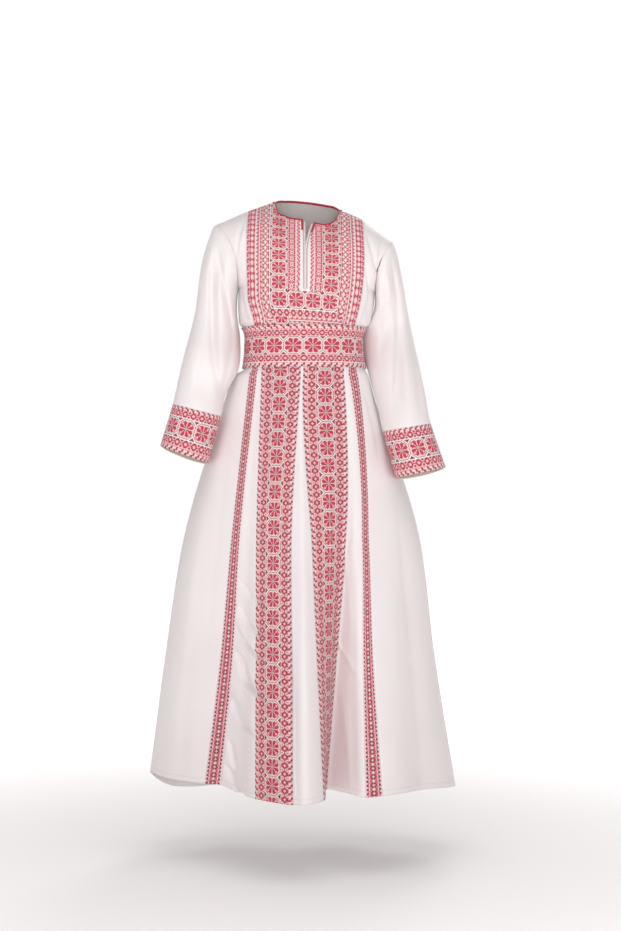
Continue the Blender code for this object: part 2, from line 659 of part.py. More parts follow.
def make_sleeves():
    up = (body_rows() - ARMPIT_SHARE) / (1.0 - ARMPIT_SHARE)
    up = up[up > -1e-9].clip(0.0, 1.0)
    front = math.pi * (1.0 - up[::-1])
    turns = np.concatenate([front, 2.0 * math.pi - front[-2:0:-1]])
    last = len(SLEEVE_RIGHT["section"]) - 1
    for side, word in ((-1, "right"), (1, "left")):
        rows = np.linspace(0.0, CUFF_STARTS, SLEEVE_ROWS)
        turn, along = np.meshgrid(turns, rows)
        out = sleeve_normals(side, turn, along)
        for i, place in enumerate(turns):
            behind = place > math.pi
            up = 1.0 - (2.0 * math.pi - place if behind else place) / math.pi
            rise = np.array(ARMPIT_SHARE + (1.0 - ARMPIT_SHARE) * up)
            edge = np.array(side * math.pi / 2)
            if i == 0:
                out[0, i] = shoulder_normals(np.array([side * math.pi / 2]))[0]
            else:
                out[0, i] = mitre(out[0, i], body_normals(edge, rise, behind))
        points = trimmed(sleeve(side, turn, along), first=False, last=False)
        wall("sleeve_" + word, points, out, CLOTH, "satin", closed=True)
        turn, along = np.meshgrid(turns, np.linspace(CUFF_STARTS, last, 4))
        out = sleeve_normals(side, turn, along)
        points = trimmed(sleeve(side, turn, along), head=False, first=False, last=False)
        wall("cuff_" + word, points, out, STITCHED, "stitched", closed=True)


# Belt and skirt


def waist(turn, height):
    """The dress's outside under the belt. turn is 0 at the front and a half at the back."""
    turn, height = np.broadcast_arrays(turn, height)
    right = through(BODY["height"], BODY["right"], height)
    left = through(BODY["height"], BODY["left"], height)
    front = through(BODY["height"], BODY["front"], height)
    rear = through(BODY["height"], BODY["back"], height)
    x = (right + left) / 2 + (left - right) / 2 * np.sin(turn)
    y = np.where(np.cos(turn) > 0, front, -rear) * np.cos(turn)
    return stacked(x, y, height)


def waist_normals(turn, height):
    turn, height = np.broadcast_arrays(turn, height)
    return normals(waist, turn, height, (-9.0, 9.0), (BODY["height"][0], BELT_TOP))


def make_belt():
    turns = np.linspace(-math.pi, math.pi, BELT_COLUMNS + 1)[:-1]
    turn, height = np.meshgrid(turns, np.linspace(BELT_FOOT, BELT_TOP, 6))
    out = waist_normals(turn, height)
    points = waist(turn, height) + out * (BELT_EASE + BELT_WALL)
    wall("belt", points, out, BELT_WALL, "stitched", closed=True)


def skirt_keys(fall):
    """Where the skirt's lines pass, for each share of the way from the waist seam to the hem."""
    lines = len(SKIRT_LINES)
    keys = np.empty((len(fall), lines, 3))
    loose = None
    for i in range(lines):
        row = {name: SKIRT[name][i] for name in SKIRT if name != "line"}
        z = WAIST_SEAM + (row["hem_z"] - WAIST_SEAM) * fall
        knots = np.array([-row["hem_z"], -KNEE_LINE, -HAND_LINE, -BELT_LINE])[::-1]
        x = through(knots, [row["belt_x"], row["hand_x"], row["knee_x"], row["hem_x"]], -z)
        y = through(knots, [row["belt_y"], row["hand_y"], row["knee_y"], row["hem_y"]], -z)
        section = waist(np.array([0.0, math.pi / 2, math.pi]), BELT_LINE)
        deep = section[0, 1] if row["belt_y"] < 0 else section[2, 1]
        centre = (BODY["right"][0] + BODY["left"][0]) / 2
        turn = math.atan2((row["belt_x"] - centre) / section[1, 0], abs(row["belt_y"] / deep))
        turn = turn if row["belt_y"] < 0 else math.pi - turn
        held = waist(turn, z)
        loose = eased((SKIRT_FREE - z) / (SKIRT_FREE - BELT_LINE))[:, None]
        keys[:, i] = held * (1.0 - loose) + stacked(x, y, z) * loose
    return keys


def skirt(line, fall):
    """Points of the skirt at line numbers, whole on the lines, and shares of the way down."""
    keys = skirt_keys(fall)
    step = np.roll(keys, -1, axis=1) - keys
    length = np.linalg.norm(step, axis=2, keepdims=True)
    rate = step / length
    before = np.roll(length, 1, axis=1)
    tangent = (rate * before + np.roll(rate, 1, axis=1) * length) / (length + before)
    i = np.floor(line).astype(int)
    share = (line - i)[None, :, None]
    i = i % len(SKIRT_LINES)
    j = (i + 1) % len(SKIRT_LINES)
    return hermite(
        keys[:, i], tangent[:, i] * length[:, i], keys[:, j], tangent[:, j] * length[:, i], share
    )


def skirt_normals(line, fall):
    step = 1e-4
    across = skirt(line + step, fall) - skirt(line - step, fall)
    down = skirt(line, np.minimum(fall + step, 1.0)) - skirt(line, np.maximum(fall - step, 0.0))
    return unit(np.cross(down, across))


def make_skirt():
    near = (SKIRT_FREE - WAIST_SEAM) / (SKIRT["hem_z"][0] - WAIST_SEAM)
    free = (BELT_LINE - WAIST_SEAM) / (SKIRT["hem_z"][0] - WAIST_SEAM)
    fall = np.concatenate([[0.0, near / 2, near, (near + free) / 2], np.linspace(free, 1.0, SKIRT_ROWS)])
    for i, name in enumerate(SKIRT_PANELS["panel"]):
        first = SKIRT_LINES.index(SKIRT_PANELS["from"][i])
        last = SKIRT_LINES.index(SKIRT_PANELS["to"][i])
        last = last if last > first else last + len(SKIRT_LINES)
        line = np.linspace(first, last, int(SKIRT_PANELS["columns"][i]) + 1)
        finish = str(SKIRT_PANELS["finish"][i])
        thickness = STITCHED if finish == "stitched" else CLOTH
        points = trimmed(skirt(line, fall), head=False)
        wall(str(name), points, skirt_normals(line, fall), thickness, finish)


make_front()
make_back()
make_tapes()
make_binding()
make_sleeves()
make_belt()
make_skirt()
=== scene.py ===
import math

import bpy
import numpy as np
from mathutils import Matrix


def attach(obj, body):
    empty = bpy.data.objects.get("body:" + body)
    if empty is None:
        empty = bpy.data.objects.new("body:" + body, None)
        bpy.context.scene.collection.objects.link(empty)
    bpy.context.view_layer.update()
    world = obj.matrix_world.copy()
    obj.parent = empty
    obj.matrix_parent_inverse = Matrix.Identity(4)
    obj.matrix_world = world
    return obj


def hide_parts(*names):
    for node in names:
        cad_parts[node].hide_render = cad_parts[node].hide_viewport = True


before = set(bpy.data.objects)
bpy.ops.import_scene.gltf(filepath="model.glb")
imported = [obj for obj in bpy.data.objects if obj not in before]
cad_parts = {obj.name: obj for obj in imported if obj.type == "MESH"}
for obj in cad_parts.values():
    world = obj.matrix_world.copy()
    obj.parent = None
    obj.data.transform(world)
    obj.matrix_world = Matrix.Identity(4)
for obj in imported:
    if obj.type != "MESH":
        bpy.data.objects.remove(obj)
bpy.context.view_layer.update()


# Side fronts of the bodice
#
# Two plain panels of off-white satin crepe, cut from the side seam and the armhole to the embroidered
# chest panel. They are sewn to it, to the back at the sides and to the sleeves. The sleeves' own shape
# is given here too, because the armholes follow it.

CLOTH_WALL = 0.0016
SEAM = 0.0003
BELT_TOP = -0.288
WAIST_SEAM = -0.340
ARMPIT_SHARE = 0.47  # share of the bodice's rise below the armpits
NECK_SHARE = 0.42  # and below the part that the shoulders and the neck shape
SHOULDER_CURL = 4.5
NECK_ROUND = 0.55
SIDE_SOFTNESS = 0.06  # depth over which the front passes into the back, for folds
SATIN_LIGHT = (0.840, 0.787, 0.790)
SATIN_SHADED = (0.812, 0.752, 0.755)
QUARTER = math.pi / 2
SIDES = ((-1, "right"), (1, "left"))


def table(text):
    """Named columns of words or numbers, a row to each line of text. The numbers are millimetres, made
    metres, but for the columns marked *."""
    heading, *rows = (line.split() for line in text.strip().splitlines())
    made = {}
    for name, *cells in zip(heading, *rows):
        if name in ("section", "line"):
            made[name] = np.array(cells)
        else:
            made[name.rstrip("*")] = np.array(cells, float) / (1.0 if name.endswith("*") else 1000.0)
    return made


BODY = table("""
    height right  left front back box*
      -388  -148   138  -117  100    1
      -338  -143   130  -113   94    1
      -290  -149 138.5  -117   99    1
      -280  -157 147.5  -121  102 0.96
      -262  -159 152.5  -126  105 0.92
      -200  -158   159  -132  110  0.9
      -120  -158   159  -117  110  1.4
       -36  -158   159   -78   92  1.9
        15  -158   159   -78   60  1.9
""")
SHOULDERS = table("""
    right_x right_z left_x left_z
        -76       7     80    -12
       -138     -15    128    -33
       -208     -45    203    -87
""")
NECK = table("""
      x front back
    -76     7    7
    -69   -14   12
    -48   -33   16
    -10   -43   16
     22 -50.5   12
     48 -51.5    6
     68   -38   -1
     80   -12  -12
""")
NECK_FRONT = -0.078
NECK_BACK = 0.060
SLEEVE_RIGHT = table("""
    section outer_x outer_z inner_x inner_z front back bow drop
    armhole    -208     -45    -160    -196   -66   76  16    0
    cap        -222     -60  -162.5    -218   -76   76  10    0
    upper      -246    -140  -163.2    -258   -80   74   0    0
    elbow      -262    -254  -155.5    -318   -76   70   0    0
    forearm    -282    -346  -157.5    -387  -110   14   0    0
    low        -297    -410    -187    -446  -116    8   0    0
    cuff       -309    -470  -197.5    -499  -130  -12   0    0
    edge       -337    -566    -226    -606  -142  -26   0   10
""")
SLEEVE_LEFT = table("""
    section outer_x outer_z inner_x inner_z front back bow drop
    armhole     203     -87     161    -205   -62   74  12    0
    cap         212    -112   161.5    -226   -68   78   8    0
    upper       227    -180   155.2    -256   -52   94   0    0
    elbow       245    -272   128.5    -312    -8  116   0    0
    forearm     263    -372     147    -402   -68   54   0    0
    low         276    -445   164.5    -472  -102   14   0    0
    cuff        288    -515   176.5    -534  -126  -12   0    0
    edge      320.8    -615   205.5    -640  -140  -26   0   10
""")
# Folds of the sleeves. Start and end are rows of the sleeve's table, turns and widths are in degrees,
# and the depth is a share of the sleeve's half width, inward where it is positive.
SLEEVE_FOLDS = table("""
    side* start* end* turn_start* turn_end* width* depth*
       -1    0.4    6          66       104     16   0.13
       -1    0.6  4.5         -70      -100     18   0.11
        1    0.5    6          62       100     16   0.12
        1    0.7  4.8         -72       -96     18   0.11
""")
CHEST_EDGES = table("""
    height  right left
      -345   -118  108
      -288 -121.5  113
      -270   -125  118
      -235 -135.5  126
      -180 -138.5  133
       -60 -138.5  133
        10   -137  131
""")
# Soft folds of the bodice. Each follows four places from its top to its foot, has a width that grows by
# its spread, and stands out by its height. side is -1 on the front and 1 on the back, and lean makes one
# flank steeper than the other.
FOLD_COLUMNS = "side* x1 z1 x2 z2 x3 z3 x4 z4 width spread* height lean*"
BODY_FOLDS = table(FOLD_COLUMNS + """
    -1 -145  -32 -158  -79 -161 -105 -159 -141 4.5   1 -4.6  0.3
    -1 -140  -57 -147  -85 -153 -111 -157 -138 4.5   1    3 -0.2
    -1 -150 -169 -152 -204 -150 -240 -144 -280   5   1 -3.6    0
    -1  140  -70  152 -108  160 -138  167 -175 4.5   1 -5.2 -0.3
    -1  182  -60  175  -95  170 -128  165 -165 4.5   1 -3.2  0.2
    -1  136 -145  143 -180  148 -209  148 -246 4.5   1 -4.4  0.2
    -1  153 -218  144 -243  135 -266  126 -292   4 1.2 -4.8    0
    -1  153 -190  150 -228  147 -252  142 -285   4 1.2 -3.6    0
    -1 -152 -225 -148 -245 -142 -262 -134 -286   5 1.2   -3    0
     1 -110  -60  -94 -120  -80 -200  -70 -285  14 1.4   -5  0.2
     1  104  -80   90 -140   76 -210   64 -285  14 1.4   -5 -0.2
     1 -136 -150 -128 -190 -114 -240 -100 -290  10 1.2   -4    0
     1  138 -160  128 -200  114 -245   98 -290  10 1.2   -4    0
     1  -20 -130  -12 -180   -4 -230    2 -290  18   1   -4    0
     1   52 -190   46 -220   40 -250   36 -290  10   1    3    0
""")


def eased(value):
    """From 0 to 1 with soft ends."""
    value = np.clip(value, 0.0, 1.0)
    return value * value * (3.0 - 2.0 * value)


def fading(share):
    """1 along the middle of a fold, fading out over its first and its last quarter."""
    return eased(share * 4.0) * eased((1.0 - share) * 4.0)


def hermite(start, leave, end, arrive, share):
    """A cubic from start to end with the given slopes."""
    square = share * share
    cube = square * share
    blend = 3.0 * square - 2.0 * cube
    slopes = leave * (cube - 2.0 * square + share) + arrive * (cube - square)
    return start * (1.0 - blend) + end * blend + slopes


def through(knots, keys, at):
    """A smooth curve through the keys, which lie at rising knots."""
    keys = np.asarray(keys, float)
    step = np.diff(np.asarray(knots, float))
    slope = np.diff(keys) / step
    inner = (slope[:-1] * step[1:] + slope[1:] * step[:-1]) / (step[:-1] + step[1:])
    tangent = np.concatenate([slope[:1], inner, slope[-1:]])
    at = np.clip(at, knots[0], knots[-1])
    i = np.clip(np.searchsorted(knots, at) - 1, 0, len(step) - 1)
    share = (at - knots[i]) / step[i]
    return hermite(keys[i], tangent[i] * step[i], keys[i + 1], tangent[i + 1] * step[i], share)


def pair(edges, at):
    """The right and the left of a table, at places down its first column."""
    first = next(iter(edges.values()))
    return [through(first, edges[word], at) for _, word in SIDES]


def stacked(x, y, z):
    return np.stack(np.broadcast_arrays(x, y, z), axis=-1)


def unit(vectors):
    return vectors / np.maximum(np.linalg.norm(vectors, axis=-1, keepdims=True), 1e-12)


def sleeve(side, turn, along):
    """Points on a sleeve. turn is 0 at the outer side, a quarter at the front, a half at the inner side."""
    sections = SLEEVE_RIGHT if side < 0 else SLEEVE_LEFT
    turn, along = np.broadcast_arrays(turn, along)
    knots = np.arange(len(sections["section"]), dtype=float)
    value = {name: through(knots, sections[name], along) for name in sections if name != "section"}
    size = 1.0 - sleeve_fold(side, turn, along)
    out = np.cos(turn) * size
    forward = np.sin(turn) * size
    x = (value["outer_x"] + value["inner_x"] + (value["outer_x"] - value["inner_x"]) * out) / 2
    y = (value["front"] + value["back"] + (value["front"] - value["back"]) * forward) / 2
    z = (value["outer_z"] + value["inner_z"] + (value["outer_z"] - value["inner_z"]) * out) / 2
    bow = value["bow"] * forward**2
    drop = value["drop"] * np.maximum(-forward, 0.0)
    return stacked(x - side * bow, y, z - drop)


def sleeve_fold(side, turn, along):
    """How far the folds draw a sleeve in, as a share of its half width."""
    depth = np.zeros(turn.shape)
    folds = SLEEVE_FOLDS
    for i in np.flatnonzero(folds["side"] == side):
        share = (along - folds["start"][i]) / (folds["end"][i] - folds["start"][i])
        centre = folds["turn_start"][i] + (folds["turn_end"][i] - folds["turn_start"][i]) * share
        off = (np.degrees(turn) - centre + 180.0) % 360.0 - 180.0
        depth = depth + folds["depth"][i] * fading(share) * np.exp(-((off / folds["width"][i]) ** 2))
    return depth


def body_side(side, rise, behind):
    """The side seam from the waist to the armpit, and then the armhole over the front or the back."""
    pit = sleeve(side, math.pi, 0.0)
    low = np.clip(rise / ARMPIT_SHARE, 0.0, 1.0)
    z = WAIST_SEAM + (pit[2] - WAIST_SEAM) * low
    share = eased((z - BELT_TOP) / (pit[2] - BELT_TOP))
    column = BODY[dict(SIDES)[side]]
    x = through(BODY["height"], column, z)
    x = x + (pit[0] - through(BODY["height"], column, pit[2])) * share
    seam = stacked(x, pit[1] * share, z)
    up = np.clip((rise - ARMPIT_SHARE) / (1.0 - ARMPIT_SHARE), 0.0, 1.0)
    hole = sleeve(side, (-math.pi if behind else math.pi) * (1.0 - up), 0.0)
    return np.where((rise <= ARMPIT_SHARE)[..., None], seam, hole)


def top_edge(x, behind):
    """Depth and height of the shoulder seams and the neck edge at a place across."""
    ends = NECK["x"][[0, -1]]
    across = np.clip((2.0 * x - ends.sum()) / np.ptp(ends), -1.0, 1.0)
    y = (NECK_BACK if behind else NECK_FRONT) * (1.0 - across**2) ** NECK_ROUND
    z = through(NECK["x"], NECK["back" if behind else "front"], x)
    for (side, word), neck in zip(SIDES, ends):
        tip = sleeve(side, 0.0, 0.0)
        beyond = side * (x - neck) > 0
        seam = through(side * SHOULDERS[word + "_x"], SHOULDERS[word + "_z"], side * x)
        y = np.where(beyond, tip[1] * (x - neck) / (tip[0] - neck), y)
        z = np.where(beyond, seam, z)
    return y, z


def body_plain(turn, rise, behind):
    """The bodice as a stack of sections, before the shoulders and the neck shape its top."""
    right = body_side(-1, rise, behind)
    left = body_side(1, rise, behind)
    side = np.where((turn < 0)[..., None], right, left)
    middle_x = (right[..., 0] + left[..., 0]) / 2
    neck_z = top_edge(np.array(0.0), behind)[1]
    middle_z = WAIST_SEAM + (neck_z - WAIST_SEAM) * rise
    middle_y = through(BODY["height"], BODY["back" if behind else "front"], middle_z)
    out = np.maximum(np.cos(turn), 0.0) ** through(BODY["height"], BODY["box"], middle_z)
    across = np.sin(turn)
    x = middle_x + np.abs(side[..., 0] - middle_x) * across
    y = side[..., 1] + (middle_y - side[..., 1]) * out
    z = middle_z + (side[..., 2] - middle_z) * across**2
    return stacked(x, y, z)


def body(turn, rise, behind=False):
    """Points on the bodice. turn is -90 degrees at the wearer's right side, 0 at the middle and 90 at
    the left; rise is 0 at the waist seam and 1 at the shoulder seams and the neck."""
    turn, rise = np.broadcast_arrays(turn, rise)
    plain = body_plain(turn, rise, behind)
    top = body_plain(turn, np.ones_like(rise, float), behind)
    y, z = top_edge(top[..., 0], behind)
    share = np.clip((rise - NECK_SHARE) / (1.0 - NECK_SHARE), 0.0, 1.0)
    plain[..., 1] += (y - top[..., 1]) * share**SHOULDER_CURL
    plain[..., 2] += (z - top[..., 2]) * eased(share)
    return plain


def turn_at(edge, column, rise, shift=0.0):
    """The turn at which an edge, given by height, crosses each row of the bodice's front."""
    turn = np.zeros_like(rise)
    half = (body(QUARTER, rise)[:, 0] - body(-QUARTER, rise)[:, 0]) / 2
    for _ in range(12):  # enough to settle
        point = body(turn, rise)
        want = through(edge["height"], edge[column], point[:, 2]) + shift
        turn = np.arcsin(np.clip(np.sin(turn) + (want - point[:, 0]) / half, -1.0, 1.0))
    return turn


def round_about(points):
    """Outward directions from the upright axis of the dress, on its front and on its back."""
    out = unit(points * (1.0, 1.0, 0.0))
    behind = eased(0.5 + points[..., 1:2] / SIDE_SOFTNESS)
    return out * (1.0 - behind), out * behind


def folded(points, folds, ways=None):
    """The same points with soft folds laid in them, outward all round or along the directions given."""
    front, rear = ways or round_about(points)
    x, z = points[..., 0], points[..., 2]
    made = points.copy()
    for row in zip(*folds.values()):
        side, x1, z1, x2, z2, x3, z3, x4, z4, width, spread, height, lean = row
        line = through(-np.array([z1, z2, z3, z4]), [x1, x2, x3, x4], -z)
        share = np.clip((z1 - z) / (z1 - z4), 0.0, 1.0)
        off = (x - line) / math.hypot(1.0, (x4 - x1) / (z4 - z1))
        wide = width * (1.0 + (spread - 1.0) * share) * (1.0 + lean * np.tanh(off / width))
        rise = height * fading(share) * np.exp(-((off / wide) ** 2))
        made += (front if side < 0 else rear) * rise[..., None]
    return made


def drawn_in(points, foot=True, head=True, sides=True):
    """The same grid with its borders drawn in by half a seam's gap."""
    made = points.copy()
    if foot:
        made[0] += unit(points[1] - points[0]) * SEAM / 2
    if head:
        made[-1] += unit(points[-2] - points[-1]) * SEAM / 2
    if sides:
        made[:, 0] += unit(points[:, 1] - points[:, 0]) * SEAM / 2
        made[:, -1] += unit(points[:, -2] - points[:, -1]) * SEAM / 2
    return made


def summed(steps):
    """How far along a line each of its points lies, from the steps between them."""
    return np.concatenate([[0.0], np.cumsum(steps)])


def run_along(line):
    return summed(np.linalg.norm(np.diff(line, axis=0), axis=1))


def evenly(line, values, parts):
    """Values given at the points of a line, at the places that part its length evenly."""
    run = run_along(line)
    return np.interp(np.linspace(0.0, run[-1], parts + 1), run, values)


def shape(name, points, faces, *materials):
    """A new smooth mesh in the scene."""
    mesh = bpy.data.meshes.new(name)
    mesh.from_pydata(points.reshape(-1, 3).tolist(), [], faces)
    mesh.polygons.foreach_set("use_smooth", np.ones(len(mesh.polygons), bool))
    for material in materials:
        mesh.materials.append(material)
    made = bpy.data.objects.new(name, mesh)
    bpy.context.collection.objects.link(made)
    return made


def cloth(name, points, facing, wall, finish, lining, closed=False, keep=None, threads=None):
    """A sheet of cloth on a grid of points, with a thread colour for each cell where it is stitched.
    facing is 1 where the columns crossed with the rows point outward, and -1 where they point inward."""
    rows, columns = points.shape[:2]
    wide = columns if closed else columns - 1
    r, c = np.mgrid[0 : rows - 1, 0:wide]
    kept = np.ones(r.shape, bool) if keep is None else keep
    corner_r = r[kept][:, None] + np.array([0, 0, 1, 1])
    corner_c = c[kept][:, None] + np.array([0, 1, 1, 0])
    if facing < 0:
        corner_r = corner_r[:, ::-1]
        corner_c = corner_c[:, ::-1]
    used, corners = np.unique(corner_r * columns + corner_c % columns, return_inverse=True)
    piece = shape(name, points.reshape(-1, 3)[used], corners.reshape(-1, 4).tolist(), finish, lining)
    mesh = piece.data
    spread = np.stack([corner_c / wide, corner_r / (rows - 1)], axis=-1).reshape(-1, 2)
    mesh.uv_layers.new(name="UVMap").data.foreach_set("uv", spread.astype(np.float32).ravel())
    ring = np.concatenate([points, points[:, :1]], axis=1) if closed else points
    across = summed(np.linalg.norm(np.diff(ring, axis=1), axis=2).mean(0))
    down = summed(np.linalg.norm(np.diff(points, axis=0), axis=2).mean(1))
    cut = stacked(across[corner_c], down[corner_r], down[-1] - down[corner_r])
    cells = stacked(corner_c, corner_r, 0.0)
    for label, values in (("cut", cut), ("cells", cells)):
        layer = mesh.attributes.new(label, "FLOAT_VECTOR", "CORNER")
        layer.data.foreach_set("vector", values.astype(np.float32).ravel())
    if threads is not None:
        layer = mesh.attributes.new("thread", "FLOAT_COLOR", "CORNER")
        layer.data.foreach_set("color", np.repeat(threads[kept], 4, axis=0).astype(np.float32).ravel())
    shell = piece.modifiers.new("wall", "SOLIDIFY")
    shell.thickness = wall
    shell.offset = -1.0
    shell.material_offset = 1
    return piece


def sewn(piece, node):
    """The piece takes the place of its solid, which is hidden, and hangs from the root empty."""
    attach(piece, "root")
    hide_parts(node)


def group(name, inputs, outputs):
    """An empty shader node group with sockets of the kinds given, and its input and output nodes."""
    tree = bpy.data.node_groups.new(name, "ShaderNodeTree")
    for label, kind, value in inputs:
        socket = tree.interface.new_socket(name=label, in_out="INPUT", socket_type="NodeSocket" + kind)
        if value is not None:
            socket.default_value = value
    for label, kind in outputs:
        tree.interface.new_socket(name=label, in_out="OUTPUT", socket_type="NodeSocket" + kind)
    return tree, tree.nodes.new("NodeGroupInput"), tree.nodes.new("NodeGroupOutput")


def node(tree, kind, values=(), links=(), **settings):
    """A shader node with its settings, its fixed inputs and the sockets that feed it."""
    made = tree.nodes.new("ShaderNode" + kind)
    for label, value in settings.items():
        setattr(made, label, value)
    for label, value in dict(values).items():
        made.inputs[label].default_value = value
    for label, socket in dict(links).items():
        tree.links.new(socket, made.inputs[label])
    return made


def reckon(tree, operation, *terms):
    """A Math node on numbers or sockets, and its result."""
    made = tree.nodes.new("ShaderNodeMath")
    made.operation = operation
    for i, term in enumerate(terms):
        if isinstance(term, (int, float)):
            made.inputs[i].default_value = term
        else:
            tree.links.new(term, made.inputs[i])
    return made.outputs[0]


def feed(tree, made, **sockets):
    """Links to the named inputs of a node."""
    for label, socket in sockets.items():
        tree.links.new(socket, made.inputs[label.replace("_", " ")])


def ranged(tree, value, low, high, **settings):
    """A Map Range node's result, 0 where the value is low and 1 where it is high."""
    ends = {"From Min": low, "From Max": high}
    return node(tree, "MapRange", ends, {"Value": value}, **settings).outputs[0]


def noise(tree, scale, detail=2.0):
    place = node(tree, "TexCoord").outputs["Object"]
    return node(tree, "TexNoise", {"Scale": scale, "Detail": detail}, {"Vector": place}).outputs[0]


def weave_group():
    """Warp and weft of a fine crepe, and the slow unevenness of a cloth that has been worn and pressed."""
    tree, start, end = group(
        "crepe weave",
        (
            ("Cut", "Vector", None),
            ("Light", "Color", (*SATIN_LIGHT, 1.0)),
            ("Shaded", "Color", (*SATIN_SHADED, 1.0)),
            ("Threads per metre", "Float", 1500.0),
        ),
        (("Color", "Color"), ("Height", "Float"), ("Roughness", "Float")),
    )
    fed = start.outputs
    threads = {0: fed["Cut"], 1: fed["Threads per metre"]}
    threads = node(tree, "VectorMath", links=threads, operation="MULTIPLY").outputs[0]
    apart = node(tree, "SeparateXYZ", links={0: threads})
    warp, weft = (
        reckon(tree, "SINE", reckon(tree, "MULTIPLY", apart.outputs[i], math.pi)) for i in (0, 1)
    )
    slubs = noise(tree, 900.0)
    crossing = reckon(tree, "MULTIPLY", warp, weft)
    fine = reckon(tree, "MULTIPLY_ADD", crossing, 0.00004, reckon(tree, "MULTIPLY", slubs, 0.00006))
    height = reckon(tree, "MULTIPLY_ADD", noise(tree, 26.0, 3.0), 0.0011, fine)
    worn = ranged(tree, noise(tree, 5.0), 0.35, 0.75)
    tones = {"Factor": worn, 6: fed["Light"], 7: fed["Shaded"]}
    colour = node(tree, "Mix", links=tones, data_type="RGBA").outputs[2]
    rough = reckon(tree, "MULTIPLY_ADD", slubs, 0.16, 0.38)
    feed(tree, end, Color=colour, Height=height, Roughness=rough)
    return tree


WEAVE = weave_group()


def finish_of(name, **fixed):
    """A new material with its Principled shader's fixed sockets set."""
    made = bpy.data.materials.new(name)
    made.use_nodes = True
    shader = made.node_tree.nodes["Principled BSDF"]
    for label, value in fixed.items():
        shader.inputs[label.replace("_", " ")].default_value = value
    return made, made.node_tree, shader


def placed(tree, which, **links):
    """A shader node group placed in a material, with its inputs set or linked."""
    made = tree.nodes.new("ShaderNodeGroup")
    made.node_tree = which
    for label, value in links.items():
        socket = made.inputs[label.replace("_", " ")]
        if isinstance(value, bpy.types.NodeSocket):
            tree.links.new(value, socket)
        else:
            socket.default_value = value
    return made


def woven_finish(name, light, shaded, raised, hem=None, threads=1500.0, sheen=0.25, soft=0.4, gloss=0.35):
    """Woven cloth with a faint sheen, and a stitched hem where one is given."""
    made, tree, shader = finish_of(
        name, Sheen_Weight=sheen, Sheen_Roughness=soft, Specular_IOR_Level=gloss
    )
    cut = node(tree, "Attribute", attribute_name="cut").outputs["Vector"]
    tones = {"Light": (*light, 1.0), "Shaded": (*shaded, 1.0)}
    weave = placed(tree, WEAVE, Cut=cut, Threads_per_metre=threads, **tones)
    colour, height = weave.outputs["Color"], weave.outputs["Height"]
    if hem:
        stitched = placed(tree, hem, Cut=cut).outputs
        height = reckon(tree, "ADD", height, stitched["Height"])
        shade = {0: colour, 1: stitched["Shade"]}
        colour = node(tree, "VectorMath", links=shade, operation="MULTIPLY").outputs[0]
    bump = node(tree, "Bump", {"Strength": raised, "Distance": 1.0}, {"Height": height}).outputs["Normal"]
    feed(tree, shader, Base_Color=colour, Roughness=weave.outputs["Roughness"], Normal=bump)
    return made


SATIN = woven_finish("satin_crepe", SATIN_LIGHT, SATIN_SHADED, 0.35)
SATIN_INSIDE = woven_finish("satin_crepe_inside", (0.84, 0.79, 0.77), (0.78, 0.73, 0.71), 0.2)

body_rows = np.linspace(0.0, 1.0, 111)
chest_right = turn_at(CHEST_EDGES, "right", body_rows)
chest_left = turn_at(CHEST_EDGES, "left", body_rows)
side_fronts = (
    ("side_front_right", "bodice_side_right", -QUARTER + 0.0 * body_rows, chest_right),
    ("side_front_left", "bodice_side_left", chest_left, QUARTER + 0.0 * body_rows),
)
for name, solid, start, end in side_fronts:
    turn = start[:, None] + (end - start)[:, None] * np.linspace(0.0, 1.0, 29)
    points = body(turn, body_rows[:, None])
    points = folded(points, BODY_FOLDS)
    piece = cloth(name, drawn_in(points), 1, CLOTH_WALL, SATIN, SATIN_INSIDE)
    sewn(piece, solid)


# Chest panel
#
# One panel of cross stitch from the shoulder seams and the neck edge down to the waist seam, slit at the
# neck. Rosettes run down both sides of the slit and across under it, between rows of lozenges, a fine
# wavy row, a ladder and a dotted edge, all in crimson and grey thread on the off-white crepe.

STITCHED_WALL = 0.0020
SLIT = table("""
    height right left
      -209  -7.6  2.6
      -140  -7.6  2.6
      -112  -7.4  3.2
       -75  -7.8 10.5
       -45  -8.5   20
""")
# Threads by letter, as colours. A dot is bare cloth between stitches, and c is the plain placket.
THREADS = {
    "r": (0.560, 0.045, 0.090),
    "d": (0.270, 0.045, 0.060),
    "p": (0.760, 0.260, 0.300),
    "l": (0.880, 0.500, 0.520),
    "g": (0.340, 0.245, 0.210),
    "b": (0.580, 0.400, 0.360),
    "w": (0.900, 0.780, 0.765),
    "s": (0.900, 0.840, 0.830),
    ".": (0.860, 0.660, 0.660),
    "c": (0.820, 0.745, 0.755),
}
PLAIN = ".c"


def chart(*lines):
    return np.array([list(line) for line in lines])


def mirrored(quarter, even=False):
    """A whole motif from its lower right quarter, whose first row and column are its middle."""
    half = np.concatenate([quarter[:, :0:-1], quarter], axis=1)
    made = np.concatenate([half[:0:-1], half], axis=0)
    return made[:-1] if even else made


